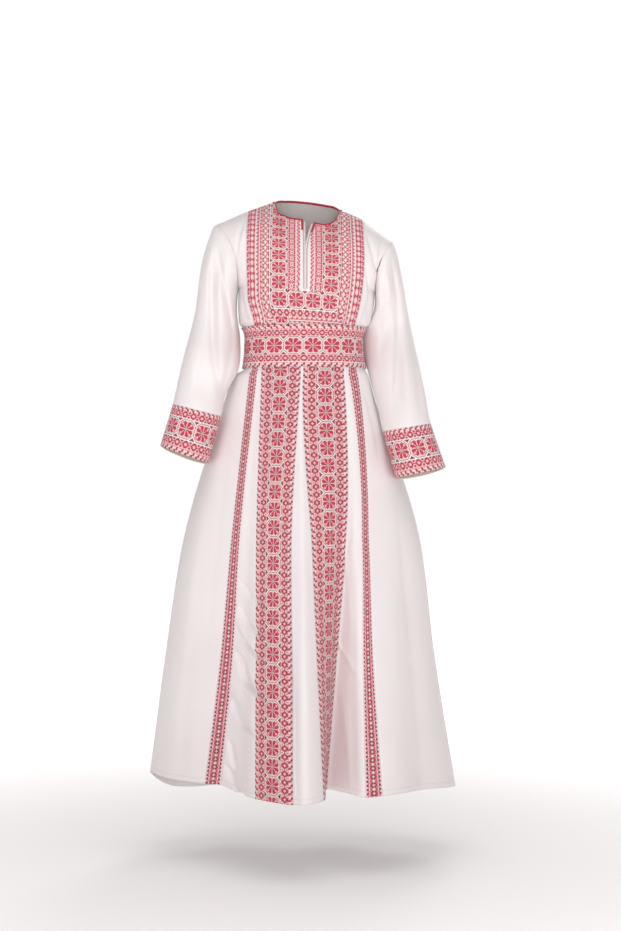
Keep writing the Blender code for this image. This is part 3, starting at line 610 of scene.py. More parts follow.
# Quarters of motifs start at the middle of the motif. Charts are given as they repeat down a band.
MOTIFS = {
    "rosette": mirrored(
        chart(
            "bbbllllllb",
            "bbdrrrrlwg",
            "bdlrrrrrwb",
            "lrrlrrrrwg",
            "lrrrllrlwg",
            "lrrrllrwgw",
            "lrrrrrwdww",
            "llrrlwdwwd",
            "lwwwwgwwdd",
            "bgbggwwddr",
        ),
        even=True,
    ),
    "large_rosette": mirrored(
        chart(
            "bbblllllllb",
            "bbdrrrrrlwg",
            "bdlrrrrrrwb",
            "lrrlrrrrrwg",
            "lrrrlrrrrwb",
            "lrrrrllrwwg",
            "lrrrrllwwgw",
            "lrrrrrwwdww",
            "llrrrwwdwwd",
            "lwwwwwgwwdd",
            "bgbgbgwwddr",
        ),
        even=True,
    ),
    "lozenge": mirrored(chart("wlrd", "lrrd", "rrgp", "dplw", "gwpr"), even=True),
    "large_lozenge": mirrored(chart("wlrd", "lprd", "rrrl", "dpll", "glrd")),
    "key": chart("ddwlp", "ddpwl", "wprdp", "lprdr", "wwlwp", "lpwwl"),
    "ladder": mirrored(chart("wwpl", "wlrl", "lwrl", "lprp", "prrp")),
    "rails": mirrored(chart("dpwd", "pwrd", "wlpr", "lrwp", "pprr")),
    "speckle": chart(
        "pplwwlpr",
        "prrwwrpd",
        "lrrllrwd",
        "lwlgglwp",
        "rwwggwwl",
        "lwlrrlwp",
        "lrrllrpd",
        "prrwwrpd",
        "pplwwlpr",
    ),
    "wave": chart("ddpwpl", "ggpwpw", "lppwrl", "wppwdd", "wppwgg", "lprwpl"),
    "zigzag": chart("lpwrw", "wdplw", "wdplw", "lwrpw", "wlpdl", "wlpdl"),
    "dots": chart("wdd", "ldp", "wpl", "ldp", "wdd", "lpl", "wwl", "lpp", "wpd"),
    "chain": chart(
        ".wlpprrdrrpplw.",
        ".lrlprdldrplrl.",
        ".ddwrdlwldrwdd.",
        ".ddlprdldrpldd.",
        ".wlpprrdrrpplw.",
        ".lrwppgwgppwrl.",
        ".ddwrdwwwdrwdd.",
        ".ddlppgwgppldd.",
    ),
    "white": chart("s"),
    "tie": chart("ss"),
    "pale": chart("l"),
    "rose": chart("p"),
    "plain": chart("c"),
}
MOTIFS["half_rosette"] = MOTIFS["rosette"][:, 10:]


def banded(strips, down, **fits):
    """Motifs side by side, read at each row's place in cells; a minus before a name turns it round.
    A motif repeats at its own length from 0, unless another repeat and start are given for it."""
    made = []
    for word in strips.split():
        name = word.lstrip("-")
        motif = MOTIFS[name]
        repeat, start = fits.get(name, (len(motif), 0))
        row = np.floor((down + 0.5 - start) / repeat % 1.0 * len(motif)).astype(int) % len(motif)
        made.append(motif[row][:, ::-1] if word != name else motif[row])
    return np.concatenate(made, axis=1)


def cells_in(strips):
    return sum(MOTIFS[word.lstrip("-")].shape[1] for word in strips.split())


def thread_colours(stitches):
    """Colours of the threads, with a mark of 1 where there is a stitch."""
    colours = np.zeros((*stitches.shape, 4))
    for letter, colour in THREADS.items():
        colours[stitches == letter] = (*colour, 0.0 if letter in PLAIN else 1.0)
    return colours


def stitch_group():
    """One cross stitch to each cell: two crossing strands, with painted shade in the gaps between them, where
    the thread goes down into the cloth.
    """
    tree, start, end = group(
        "cross stitch",
        (
            ("Cells", "Vector", None),
            ("Thread", "Color", (0.5, 0.02, 0.05, 1.0)),
            ("Stitched", "Float", 1.0),
            ("Dip", "Float", 0.30),
        ),
        (("Color", "Color"), ("Height", "Float"), ("Roughness", "Float")),
    )
    fed = start.outputs
    inside = node(tree, "VectorMath", links={0: fed["Cells"]}, operation="FRACTION").outputs[0]
    apart = node(tree, "SeparateXYZ", links={0: inside}).outputs
    rising = reckon(tree, "ABSOLUTE", reckon(tree, "SUBTRACT", apart[0], apart[1]))
    total = reckon(tree, "ADD", apart[0], apart[1])
    falling = reckon(tree, "ABSOLUTE", reckon(tree, "SUBTRACT", total, 1.0))
    nearest = reckon(tree, "MINIMUM", rising, falling)
    strand = ranged(tree, nearest, 0.42, 0.02, interpolation_type="SMOOTHSTEP")
    uneven = noise(tree, 260.0)
    # Painted shade: stitched cells are darkened in the gaps between their strands.
    gap_shade = reckon(tree, "MULTIPLY", reckon(tree, "SUBTRACT", 1.0, strand), fed["Dip"])
    gap_shade = reckon(tree, "MULTIPLY", gap_shade, fed["Stitched"])
    shade = reckon(tree, "SUBTRACT", reckon(tree, "MULTIPLY_ADD", uneven, 0.22, 0.89), gap_shade)
    shade = {0: fed["Thread"], 1: shade}
    colour = node(tree, "VectorMath", links=shade, operation="MULTIPLY").outputs[0]
    raised = reckon(tree, "MULTIPLY", strand, fed["Stitched"])
    height = reckon(tree, "MULTIPLY_ADD", raised, 0.00045, reckon(tree, "MULTIPLY", uneven, 0.00012))
    rough = reckon(tree, "MULTIPLY_ADD", fed["Stitched"], 0.22, 0.45)
    feed(tree, end, Color=colour, Height=height, Roughness=rough)
    return tree


CROSS_STITCH = stitch_group()


def stitched_finish(name, gap_shade_strength):
    """Cotton thread in cross stitch over the crepe, with painted shade between the strands."""
    made, tree, shader = finish_of(name, Sheen_Weight=0.15, Sheen_Roughness=0.5, Specular_IOR_Level=0.30)
    cells = node(tree, "Attribute", attribute_name="cells").outputs["Vector"]
    thread = node(tree, "Attribute", attribute_name="thread").outputs
    threads = {"Thread": thread["Color"], "Stitched": thread["Alpha"]}
    stitch = placed(tree, CROSS_STITCH, Cells=cells, Dip=gap_shade_strength, **threads).outputs
    bump = node(tree, "Bump", {"Strength": 0.5, "Distance": 1.0}, {"Height": stitch["Height"]})
    bump = bump.outputs["Normal"]
    feed(tree, shader, Base_Color=stitch["Color"], Roughness=stitch["Roughness"], Normal=bump)
    return made


# The figure given is how strongly the gaps between the strands are darkened, as painted shade.
STITCHED = stitched_finish("cross_stitched_crepe", 0.22)

# Strips from the panel's right edge to the slit and, past the plain placket, on to its left edge.
CHEST_RIGHT = "dots ladder white wave speckle white rosette pale rails pale zigzag"
CHEST_LEFT = "-zigzag pale rails pale rosette pale -speckle -wave white ladder -dots"
ZIGZAG_START = 3
PLACKET_CELLS = 10
# Heights of the middles of the rosettes down their two columns, in rows of the chart. The wearer's left
# hangs a little lower.
ROSETTES_AT = (-0.0610, 0.0560)
CHEST_ROWS = table("""
    row*  right   left
     -36      8     -6
      -9    -35    -48
       0  -48.6    -62
      18  -75.4  -88.5
      36 -101.7   -113
      54 -128.7 -138.5
      72 -157.3 -165.2
      90 -191.4 -199.4
     108 -229.6 -237.6
     126   -269   -275
     162   -340   -340
""")
# Strips under the slit: motif, its first row, its first and last column.
UNDER_SLIT = (
    ("rosette", 99, 26, 102),
    ("white", 118, 25, 103),
    ("lozenge", 119, 22, 108),
    ("pale", 126, 18, 112),
    ("wave", 127, 18, 112),
    ("pale", 133, 18, 112),
    ("key", 134, 11, 117),
    ("half_rosette", 127, 26, 45),
    ("tie", 133, 61, 66),
    ("rose", 139, 11, 117),
)
UNDER_ROSETTES = 18.9  # cells from one rosette to the next
CHEST_ROWS_ABOVE = 31
CHEST_ROWS_BELOW = 162
CHEST_FIRST_REPEAT = -9
SMALLEST_CELL = 2e-7  # twice the area under which a cell is left out
FRONT_HEIGHT = 0.33  # about how high the front stands over the waist seam
LEAST_SLOPE = 0.05
SETTLING_ROUNDS = 14


def on_front(x, z):
    """The turn and rise of the places on the bodice's front with that x and height, held to its edges."""
    turn = np.zeros(x.shape)
    rise = np.clip((z - WAIST_SEAM) / FRONT_HEIGHT, 0.0, 1.0)
    step = 1e-3
    for _ in range(SETTLING_ROUNDS):
        point = body(turn, rise)
        side = body_side(-1, rise, False)[..., 0], body_side(1, rise, False)[..., 0]
        half = (side[1] - side[0]) / 2
        turn = np.arcsin(np.clip(np.sin(turn) + (x - point[..., 0]) / half, -1.0, 1.0))
        near = np.clip(rise, step, 1.0 - step)
        slope = (body(turn, near + step)[..., 2] - body(turn, near - step)[..., 2]) / (2 * step)
        point = body(turn, rise)
        rise = np.clip(rise + (z - point[..., 2]) / np.maximum(slope, LEAST_SLOPE), 0.0, 1.0)
    return turn, rise


slit_column = cells_in(CHEST_RIGHT) + PLACKET_CELLS // 2
chest_cells = cells_in(CHEST_RIGHT) + PLACKET_CELLS + cells_in(CHEST_LEFT)
rows = np.arange(-CHEST_ROWS_ABOVE, CHEST_ROWS_BELOW + 1.0)
low_right, low_left = pair(CHEST_ROWS, rows[:, None])
across = np.linspace(CHEST_EDGES["right"][-1], CHEST_EDGES["left"][-1], chest_cells + 1)
heights = low_right + (low_left - low_right) * (across - ROSETTES_AT[0]) / np.ptp(ROSETTES_AT)
edge_right, edge_left = pair(CHEST_EDGES, heights)
beside = np.arange(chest_cells + 1)
x = edge_right + (edge_left - edge_right) * beside / chest_cells
open_above = heights > SLIT["height"][0]
slit_right, slit_left = pair(SLIT, heights)
x = np.where(open_above & (beside <= slit_column), np.minimum(x, slit_right), x)
x = np.where(open_above & (beside > slit_column), np.maximum(x, slit_left), x)
turn, rise = on_front(x, heights)
points = body(turn, rise)
diagonals = points[1:, 1:] - points[:-1, :-1], points[1:, :-1] - points[:-1, 1:]
keep = np.linalg.norm(np.cross(*diagonals), axis=2) > SMALLEST_CELL
keep[open_above[:-1, slit_column], slit_column] = False
down = rows[:-1] - CHEST_FIRST_REPEAT
right = banded(CHEST_RIGHT, down)
left = banded(CHEST_LEFT, down, zigzag=(6, ZIGZAG_START))
placket = np.full((len(rows) - 1, PLACKET_CELLS), "c")
stitches = np.concatenate([right, placket, left], axis=1)
for motif, top, first, last in UNDER_SLIT:
    picked = (rows[:-1] >= top) & (rows[:-1] < top + cells_in(motif))
    strip = banded(motif, np.arange(last - first), rosette=(UNDER_ROSETTES, 0))
    stitches[np.ix_(picked, np.arange(first, last))] = strip.T
points = drawn_in(folded(points, BODY_FOLDS))
threads = thread_colours(stitches)
chest = cloth("chest_cloth", points, -1, STITCHED_WALL, STITCHED, SATIN_INSIDE, keep=keep, threads=threads)
sewn(chest, "chest_panel")


# Back of the bodice
#
# One plain panel of the crepe from side seam to side seam, up to the shoulder seams and the back of the
# neck. It is sewn to both fronts, the sleeves and the skirt's back.

back_turns = np.linspace(-QUARTER, QUARTER, 81)
points = body(back_turns[None, :], body_rows[:, None], behind=True)
points = folded(points, BODY_FOLDS)
back_cloth = cloth("back_cloth", drawn_in(points), -1, CLOTH_WALL, SATIN, SATIN_INSIDE)
sewn(back_cloth, "bodice_back")


# Zip
#
# A fine closed zip in the slit: two woven tapes sewn behind the placket's folded edges, with a small
# nylon coil along the inner edge of each. The coils mesh below and part above, where the slit opens.

TAPE_WALL = 0.0010
TAPE_SHOWS = 0.0042
TAPE_HIDDEN = 0.0056
TAPE_SINK = 0.0012
TAPE_ROWS = 60
TAPE_COLUMNS = 7
TAPE_FOOT_RISE = ARMPIT_SHARE - 0.055
TAPE_TOP_RISE = 0.985
COIL_RADIUS = 0.0013
COIL_PITCH = 0.0016
COIL_WIRE = 0.00048
COIL_FLATNESS = 0.7
COIL_STEPS = 12  # to a turn
COIL_SPOKES = 6
COIL_RISE = 0.0008  # above the middle of the tape


def coil_finish():
    """Smooth nylon, a little yellowed where the teeth rub."""
    made, tree, shader = finish_of("zip_coil", Roughness=0.35, Specular_IOR_Level=0.5)
    tones = {6: (0.97, 0.94, 0.93, 1.0), 7: (0.90, 0.84, 0.83, 1.0)}
    colour = node(tree, "Mix", tones, {"Factor": noise(tree, 300.0)}, data_type="RGBA")
    feed(tree, shader, Base_Color=colour.outputs[2])
    return made


def facing_out(points):
    """Unit normals of a grid whose columns run across and whose rows run up."""
    return unit(np.cross(np.gradient(points, axis=1), np.gradient(points, axis=0)))


def coil(name, line, out, side, material):
    """A helix of fine wire along a line of points, with one turn to each tooth."""
    run = run_along(line)
    steps = int(run[-1] / COIL_PITCH) * COIL_STEPS
    at = np.linspace(0.0, run[-1], steps)
    centre, normal = (np.stack([np.interp(at, run, axis) for axis in rail.T], axis=1) for rail in (line, out))
    along = unit(np.gradient(centre, axis=0))
    across = unit(np.cross(along, normal))
    turn = (2 * math.pi * at / COIL_PITCH * side)[:, None]
    path = centre + (across * np.cos(turn) + normal * np.sin(turn) * COIL_FLATNESS) * COIL_RADIUS
    spokes = np.linspace(0.0, 2 * math.pi, COIL_SPOKES, endpoint=False)[:, None]
    heading = unit(np.gradient(path, axis=0))
    first = unit(np.cross(heading, along))
    second = np.cross(heading, first)
    ring = first[:, None] * np.cos(spokes) + second[:, None] * np.sin(spokes)
    points = path[:, None] + ring * COIL_WIRE
    r, c = np.mgrid[0 : steps - 1, 0:COIL_SPOKES]
    beside = (c + 1) % COIL_SPOKES
    low, high = r * COIL_SPOKES, (r + 1) * COIL_SPOKES
    quads = np.stack([low + c, low + beside, high + beside, high + c], axis=-1).reshape(-1, 4).tolist()
    caps = [list(range(COIL_SPOKES))[::-1], list(range(len(points) * COIL_SPOKES))[-COIL_SPOKES:]]
    return shape(name, points, quads + caps, material)


# The tapes are a dark mauve: painted shade for the shadow along both edges of the slit, between the placket
# and the coils.
TAPE_IN_PAINTED_SHADE = woven_finish(
    "zip_tape", (0.60, 0.46, 0.49), (0.50, 0.38, 0.41), 0.6, threads=900.0, sheen=0.1, soft=0.5, gloss=0.3
)
COIL = coil_finish()
tape_rise = np.linspace(TAPE_FOOT_RISE, TAPE_TOP_RISE, TAPE_ROWS)
for side, word in SIDES:
    shifts = np.linspace(side * TAPE_HIDDEN, -side * TAPE_SHOWS, TAPE_COLUMNS)
    turn = np.stack([turn_at(SLIT, word, tape_rise, shift) for shift in shifts], axis=1)
    points = body(turn, tape_rise[:, None])[:, ::-side]
    out = facing_out(points)
    points = points - out * (STITCHED_WALL + TAPE_SINK)
    tape = cloth("zip_tape_cloth_" + word, points, 1, TAPE_WALL, TAPE_IN_PAINTED_SHADE, TAPE_IN_PAINTED_SHADE)
    middle = out[:, TAPE_COLUMNS // 2]
    inner = points[:, -1 if side < 0 else 0] + middle * COIL_RISE
    teeth = coil("zip_coil_" + word, inner, middle, side, COIL)
    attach(teeth, "root")
    sewn(tape, "zip_tape_" + word)


# Neck binding
#
# A narrow bias strip of crimson satin, folded over the raw edge of the neck and sewn down. It runs from
# part of the way down one edge of the slit round the neck to the other.

BINDING_WIDTH = 0.0042
BINDING_FOOT = -0.072
BINDING_WALL = 0.0006
TOP_HALF_WIDTH = 0.21  # about half the way from one shoulder tip to the other


def neck_turns():
    """The turns at which the neck edge meets the shoulder seams."""
    found = []
    for side, x in ((-1, NECK["x"][0]), (1, NECK["x"][-1])):
        tip = body(np.array(side * QUARTER), np.array(1.0))
        middle = body(np.array(0.0), np.array(1.0))
        found.append(float(np.arcsin((x - middle[0]) / abs(tip[0] - middle[0]))))
    return found


def rise_below(turn, distance, behind=False):
    """The rise of a place some way below the neck edge."""
    step = 0.01
    near = body(turn, np.full_like(turn, 1.0 - step), behind)
    run = np.linalg.norm(body(turn, np.ones_like(turn), behind) - near, axis=-1)
    return 1.0 - distance * step / run


def between(start, end, places):
    """Values from start to end, closer together towards both, without the two themselves."""
    return start + (end - start) * (1.0 - np.cos(np.linspace(0.0, math.pi, places)[1:-1])) / 2


def binding_points(share):
    """A line along the binding, a share of its width in from the cloth's edge."""
    width = BINDING_WIDTH * share
    top = float(SLIT["height"][-1])
    down = np.linspace((BINDING_FOOT - WAIST_SEAM) / (top - WAIST_SEAM), 1.0, 24)
    slits, fronts, corners = [], [], []
    for (side, word), neck in zip(SIDES, neck_turns()):
        turn = turn_at(SLIT, word, down, side * width)
        slits.append(body(turn, np.minimum(down, rise_below(turn, width))))
        turn = between(float(turn_at(SLIT, word, np.array([1.0]))[0]), neck, 40)
        fronts.append(body(turn, rise_below(turn, width)))
        turn = neck + side * width / TOP_HALF_WIDTH / math.cos(neck)
        corners.append(body(np.array([turn]), np.array([1.0])))
    turn = between(*neck_turns(), 90)
    rear = body(turn, rise_below(turn, width, True), behind=True)
    parts = (slits[0], fronts[0], corners[0], rear, corners[1], fronts[1][::-1], slits[1][::-1])
    return np.concatenate(parts)


CRIMSON_SATIN = woven_finish(
    "crimson_satin", (0.52, 0.012, 0.050), (0.36, 0.008, 0.030), 0.4, sheen=0.1, soft=0.5, gloss=0.45
)
# The strip's section, from its outer edge over the fold to its inner edge: share of the width in from
# the cloth's edge, and height above the cloth's face.
BINDING_SECTION = table("""
    share* lift
         1  0.3
      0.85  1.2
       0.5  1.8
      0.15  1.5
      -0.1  0.6
     -0.22   -1
      -0.1 -2.6
      0.15 -3.4
       0.5 -3.6
      0.85 -3.3
         1 -2.7
""")

edge = binding_points(0.0)
inner = binding_points(1.0)
lines = np.stack([edge + (inner - edge) * share for share in BINDING_SECTION["share"]])
out = facing_out(np.stack([edge, inner]))[0]
points = lines + out * BINDING_SECTION["lift"][:, None, None]
binding = cloth("binding_cloth", points, -1, BINDING_WALL, CRIMSON_SATIN, SATIN_INSIDE)
sewn(binding, "neck_binding")


# Sleeves
#
# Long straight sleeves of the plain crepe, set into the armholes and hanging in soft lengthwise folds to
# the cuffs. Each is one piece with a seam under the arm.

SLEEVE_CLOTH_FOLDS = table(FOLD_COLUMNS + """
    -1 -213  -85 -221 -199 -220 -288 -196 -470   6 1.5 -8.5  0.4
    -1 -210  -90 -195 -165 -184 -229 -166 -340   5 1.4 -7.2 -0.3
    -1 -203 -150 -203 -240 -200 -320 -186 -440   8 1.4  3.6    0
    -1 -172 -299 -174 -350 -185 -404 -196 -462   6 1.2 -4.2    0
    -1 -240 -120 -252 -220 -258 -320 -268 -440  12 1.5    3    0
    -1 -226 -330 -240 -380 -250 -425 -256 -470   7 1.2 -2.6    0
    -1  193 -105  212 -228  214 -348  194 -510 5.5 1.7   -9  0.4
    -1  183 -130  196 -217  199 -307  193 -400   6 1.2  4.2    0
    -1  171 -176  180 -228  182 -286  170 -370   6 1.2 -5.2  0.2
    -1  238 -220  252 -340  260 -438  268 -530   6 1.4 -5.2    0
    -1  226 -260  232 -340  232 -420  226 -510  10 1.4    3    0
     1 -205  -80 -218 -190 -222 -290 -216 -440   8 1.5   -7  0.2
     1 -188 -110 -196 -200 -196 -290 -200 -400   8 1.3    4    0
     1  200 -110  208 -220  208 -330  206 -480   8 1.5   -7 -0.2
     1  184 -150  190 -230  188 -320  188 -430   8 1.3    4    0
""")

CUFF_TOP = 6.0  # rows of the sleeves' tables
CUFF_FOOT = 7.0
FLANK_SOFTNESS = 1.6  # how soon the folds of a sleeve's front die out round its sides

sleeve_turns = np.linspace(0.0, 2 * math.pi, 116, endpoint=False)
sleeve_rows = np.linspace(0.0, CUFF_TOP, 110)[:, None]
ahead = np.sin(sleeve_turns)[:, None] * np.ones((len(sleeve_rows), 1, 1)) * FLANK_SOFTNESS
front = stacked(0.0, -1.0, 0.0) * eased(ahead)
rear = stacked(0.0, 1.0, 0.0) * eased(-ahead)
for side, word in SIDES:
    points = folded(sleeve(side, sleeve_turns, sleeve_rows), SLEEVE_CLOTH_FOLDS, (front, rear))
    points = drawn_in(points, sides=False)
    piece = cloth("sleeve_cloth_" + word, points, side, CLOTH_WALL, SATIN, SATIN_INSIDE, closed=True)
    sewn(piece, "sleeve_" + word)


# Cuffs
#
# Deep bands of cross stitch at the foot of the sleeves: a row of rosettes between two white lines, with
# lozenges and a dotted edge above and below, backed with a plain beige facing.

CUFF_STRIPS = "key large_lozenge white rosette white large_lozenge pale -key"
CUFF_COLUMNS = 162
CUFF_ROSETTES = 9  # round a cuff
HALF_DEGREES = 721  # places half a degree apart round a whole turn
CUFF_LINING = woven_finish("cuff_facing", (0.58, 0.50, 0.42), (0.50, 0.42, 0.35), 0.3)


def around(side, columns, along):
    """Turns that part a sleeve's section evenly."""
    turn = np.linspace(0.0, 2 * math.pi, HALF_DEGREES)
    return evenly(sleeve(side, turn, along), turn, columns)[:-1]


stitches = banded(CUFF_STRIPS, np.arange(CUFF_COLUMNS), rosette=(CUFF_COLUMNS / CUFF_ROSETTES, -9)).T
threads = thread_colours(stitches)
along = np.linspace(CUFF_TOP, CUFF_FOOT, cells_in(CUFF_STRIPS) + 1)[:, None]
for side, word in SIDES:
    turns = around(side, CUFF_COLUMNS, (CUFF_TOP + CUFF_FOOT) / 2)
    points = drawn_in(sleeve(side, turns, along), head=False, sides=False)
    name = "cuff_cloth_" + word
    piece = cloth(name, points, side, STITCHED_WALL, STITCHED, CUFF_LINING, closed=True, threads=threads)
    sewn(piece, "cuff_" + word)


# Plain panels of the skirt
#
# Seven gored panels of the crepe: the centre front, a gore on each side of it, the two front sides and
# the two halves of the back. They hang from the waist seam in long soft folds to a narrow turned hem.

SKIRT_FREE = -0.387
BELT_LINE = -0.402
HAND_LINE = -0.770
KNEE_LINE = -1.060
SKIRT = table("""
    line              belt_x belt_y hand_x hand_y knee_x knee_y hem_x hem_y hem_z
    side_right          -172     34   -286      5   -333     10  -370    30 -1336
    face_right          -156    -44   -249    -86   -289    -82  -328   -46 -1339
    narrow_right_out    -133    -68   -171   -134   -198   -140  -233  -125 -1339
    narrow_right_in     -113    -83   -150   -151   -167   -159  -195  -150 -1338
    gore_right        -108.5    -85   -132   -160   -143   -185  -158  -192 -1347
    wide_right_out      -104    -88 -113.5   -176   -113   -232  -113  -280 -1347
    wide_right_mid       -58   -110    -73   -193    -71   -262   -72  -318 -1348
    wide_right_in        -13   -119  -33.5   -203  -31.5   -276   -29  -336 -1351
    centre               -10 -119.5    -10   -212     -7   -290    -3  -345 -1349
    wide_left_in          -7 -119.5     12   -200     25   -262    39  -300 -1347
    wide_left_mid         38   -114     53   -182     52   -215    43  -245 -1342
    wide_left_out         86    -92     90   -160   67.5   -175  45.5  -185 -1342
    gore_left             91    -89    108   -168    102   -205    97  -232 -1344
    narrow_left_in        96    -85    125   -166    127   -218   131  -262 -1347
    narrow_left_out      119    -66    142   -156    151   -212   170  -255 -1345
    face_left            133    -50    205   -110    224   -150   252  -170 -1347
    side_left            144      8    261    -15    298    -25   345   -35 -1360
    back_left_side       116     62    240     95    276    120   318   135 -1374
    back_left_trough      72     88    135    145    165    165   195   185 -1382
    back_left_ridge       36    102     78    180     97    225   112   262 -1386
    back_trough           -3    104      0    168      0    192    -2   215 -1384
    back_right_ridge     -42    103    -85    184   -106    228  -122   268 -1390
    back_right_trough    -80     90   -150    148   -184    168  -214   190 -1392
    back_right_side     -128     70   -256    105   -294    125  -322   150 -1390
""")
SKIRT_LINES = list(SKIRT["line"])
BOW_HEIGHT = 0.75  # under 1 where the lines bow most above the middle
# How far some of the lines bow across, between the belt and the hand line.
BOWED = {
    "wide_left_in": -0.0057,
    "wide_left_out": 0.0042,
    "gore_left": 0.0052,
    "narrow_left_in": 0.0070,
    "narrow_left_out": 0.0060,
    "face_left": 0.0030,
}
SKIRT_FOLDS = table(FOLD_COLUMNS + """
    -1 -157  -864 -143  -882 -127  -905  -96  -944   5 1.1   -8  0.5
    -1 -160  -922 -147  -944 -131  -970  -96 -1002   6 1.1  -12  0.6
    -1 -157  -960 -147  -978 -130 -1004 -100 -1036   6 1.1    5    0
    -1 -152  -996 -137 -1014 -123 -1030  -96 -1060   4 1.1   -8  0.5
    -1 -159 -1010 -145 -1036 -128 -1076 -100 -1110   7 1.1    5    0
    -1 -165 -1026 -153 -1047 -139 -1096  -98 -1138 6.8 1.1  -16  0.6
    -1 -174 -1128 -164 -1158 -150 -1188 -108 -1222   7 1.1 -8.5  0.5
    -1 -167 -1093 -156 -1124 -140 -1158 -110 -1190   9 1.1    4    0
    -1 -184 -1224 -176 -1240 -171 -1268 -160 -1312 5.5 1.1   -9  0.5
    -1 -189 -1282 -178 -1300 -170 -1326 -120 -1376 5.5 1.1  -11  0.5
    -1  -32  -960  -29 -1080  -27 -1200  -22 -1900   6 1.2   -8  0.4
    -1   -7  -450   -5  -733   -3 -1018    4 -1750  10   2    3    0
    -1  116  -780  111 -1004  112 -1182  130 -1700   8 1.5  4.2  0.2
    -1  106  -747   96  -791   87  -824   72  -889   5   1 -2.6    0
    -1   80  -780   88  -835   93  -900  100  -990   4   1  2.6  0.6
    -1   58 -1000   72 -1020   88 -1045  110 -1086 4.5 1.2    6  0.6
    -1   70 -1080   80 -1150   90 -1240  106 -1420   8 1.4    6  0.6
    -1  128  -410  146  -473  160  -531  171  -620   6 1.8   -3  0.2
    -1  148  -405  168  -473  183  -530  202  -660   6 2.2 -3.2  0.2
    -1  205  -620  224  -829  241 -1010  300 -1750  10 2.4 -3.6  0.2
    -1  178  -700  190  -880  204 -1060  240 -1750  14   2  2.4    0
    -1 -212  -560 -240  -830 -264 -1061 -330 -1750  12 2.4 -3.6  0.2
    -1 -176  -500 -198  -691 -218  -874 -250 -1200  10   2 -2.2 -0.2
    -1 -240  -905 -246  -990 -256 -1100 -290 -1750  16 1.8  2.2    0
     1 -165  -420 -200  -640 -232  -900 -300 -1750  12 2.2   -6  0.2
     1  -52  -400 -110  -640 -142  -900 -190 -1750  10 2.4  5.5 -0.2
     1  -20  -400  -34  -640  -50  -900  -68 -1750   9 2.4   -6  0.2
     1   18  -400   36  -640   46  -900   60 -1750   9 2.4 -5.5 -0.2
     1   55  -400  108  -640  140  -900  176 -1750  10 2.4    5  0.2
     1  120  -420  176  -640  214  -900  276 -1750  12 2.2 -5.5 -0.2
""")
# Panel, its solid, first and last line, columns, rows, and the cut's width at the hem, length and area.
PLAIN_PANELS = (
    ("side_cloth_right", "skirt_side_right", "side_right", "narrow_right_out", 44, 190, 0.28, 1.02, 0.184),
    ("gore_cloth_right", "gore_right", "narrow_right_in", "wide_right_out", 40, 360, 0.11, 1.03, 0.068),
    ("centre_cloth", "skirt_centre", "wide_right_in", "wide_left_in", 18, 190, 0.09, 1.03, 0.056),
    ("gore_cloth_left", "gore_left", "wide_left_out", "narrow_left_in", 28, 250, 0.09, 1.03, 0.055),
    ("side_cloth_left", "skirt_side_left", "narrow_left_out", "side_left", 44, 190, 0.31, 1.04, 0.200),
    ("back_cloth_left", "skirt_back_left", "side_left", "back_trough", 50, 150, 0.62, 1.08, 0.410),
    ("back_cloth_right", "skirt_back_right", "back_trough", "side_right", 50, 150, 0.62, 1.08, 0.410),
)


FINE_STEPS = 12  # to a line of the skirt, where its columns are parted evenly
PUCKER_REACH = 0.007
PUCKER_RISE = 0.00045
PUCKER_SINK = 0.0003


def puckered(points):
    """The same grid, drawn up a little along its side seams by their stitching."""
    out = unit(np.cross(np.gradient(points, axis=0), np.gradient(points, axis=1)))
    step = np.linalg.norm(np.diff(points, axis=1), axis=2).mean()
    beside = np.arange(points.shape[1]) * step
    near = sum(np.exp(-((gap / PUCKER_REACH) ** 2)) for gap in (beside, beside[::-1]))
    down = np.linspace(0.0, 1.05, len(points))[:, None]
    waves = np.sin(down * 251.0 + 3.0 * np.sin(down * 37.0)) * (0.6 + 0.4 * np.sin(down * 59.0))
    return points + out * (near * (PUCKER_RISE * waves - PUCKER_SINK))[..., None]


def hem_group():
    """A fine line of machine stitching round the turned hem, and the edge of the turning behind it."""
    tree, start, end = group(
        "hem stitching",
        (
            ("Cut", "Vector", None),
            ("Depth", "Float", 0.012),
            ("Stitches per metre", "Float", 330.0),
        ),
        (("Shade", "Float"), ("Height", "Float")),
    )
    fed = start.outputs
    apart = node(tree, "SeparateXYZ", links={0: fed["Cut"]}).outputs
    above = reckon(tree, "SUBTRACT", apart[2], fed["Depth"])
    line = ranged(tree, reckon(tree, "ABSOLUTE", above), 0.0009, 0.0002)
    dash = reckon(tree, "MULTIPLY", apart[0], fed["Stitches per metre"])
    dash = reckon(tree, "GREATER_THAN", reckon(tree, "FRACT", dash), 0.3)
    thick = reckon(tree, "MULTIPLY", ranged(tree, above, 0.0005, -0.0005), 0.0006)
    height = reckon(tree, "MULTIPLY_ADD", line, -0.0005, thick)
    height = reckon(tree, "MULTIPLY_ADD", reckon(tree, "MULTIPLY", line, dash), 0.0003, height)
    shade = reckon(tree, "SUBTRACT", 1.0, reckon(tree, "MULTIPLY", line, 0.12))
    feed(tree, end, Shade=shade, Height=height)
    return tree


HEM_STITCHES = hem_group()
HEMMED = woven_finish("satin_crepe_hemmed", SATIN_LIGHT, SATIN_SHADED, 0.35, HEM_STITCHES)


def waist(turn, height):
    """The dress's outside under the belt. turn is 0 at the front and 180 degrees at the back."""
    turn, height = np.broadcast_arrays(turn, height)
    right, left = pair(BODY, height)
    front, rear = (through(BODY["height"], BODY[column], height) for column in ("front", "back"))
    x = (right + left) / 2 + (left - right) / 2 * np.sin(turn)
    y = np.where(np.cos(turn) > 0, front, -rear) * np.cos(turn)
    return stacked(x, y, height)


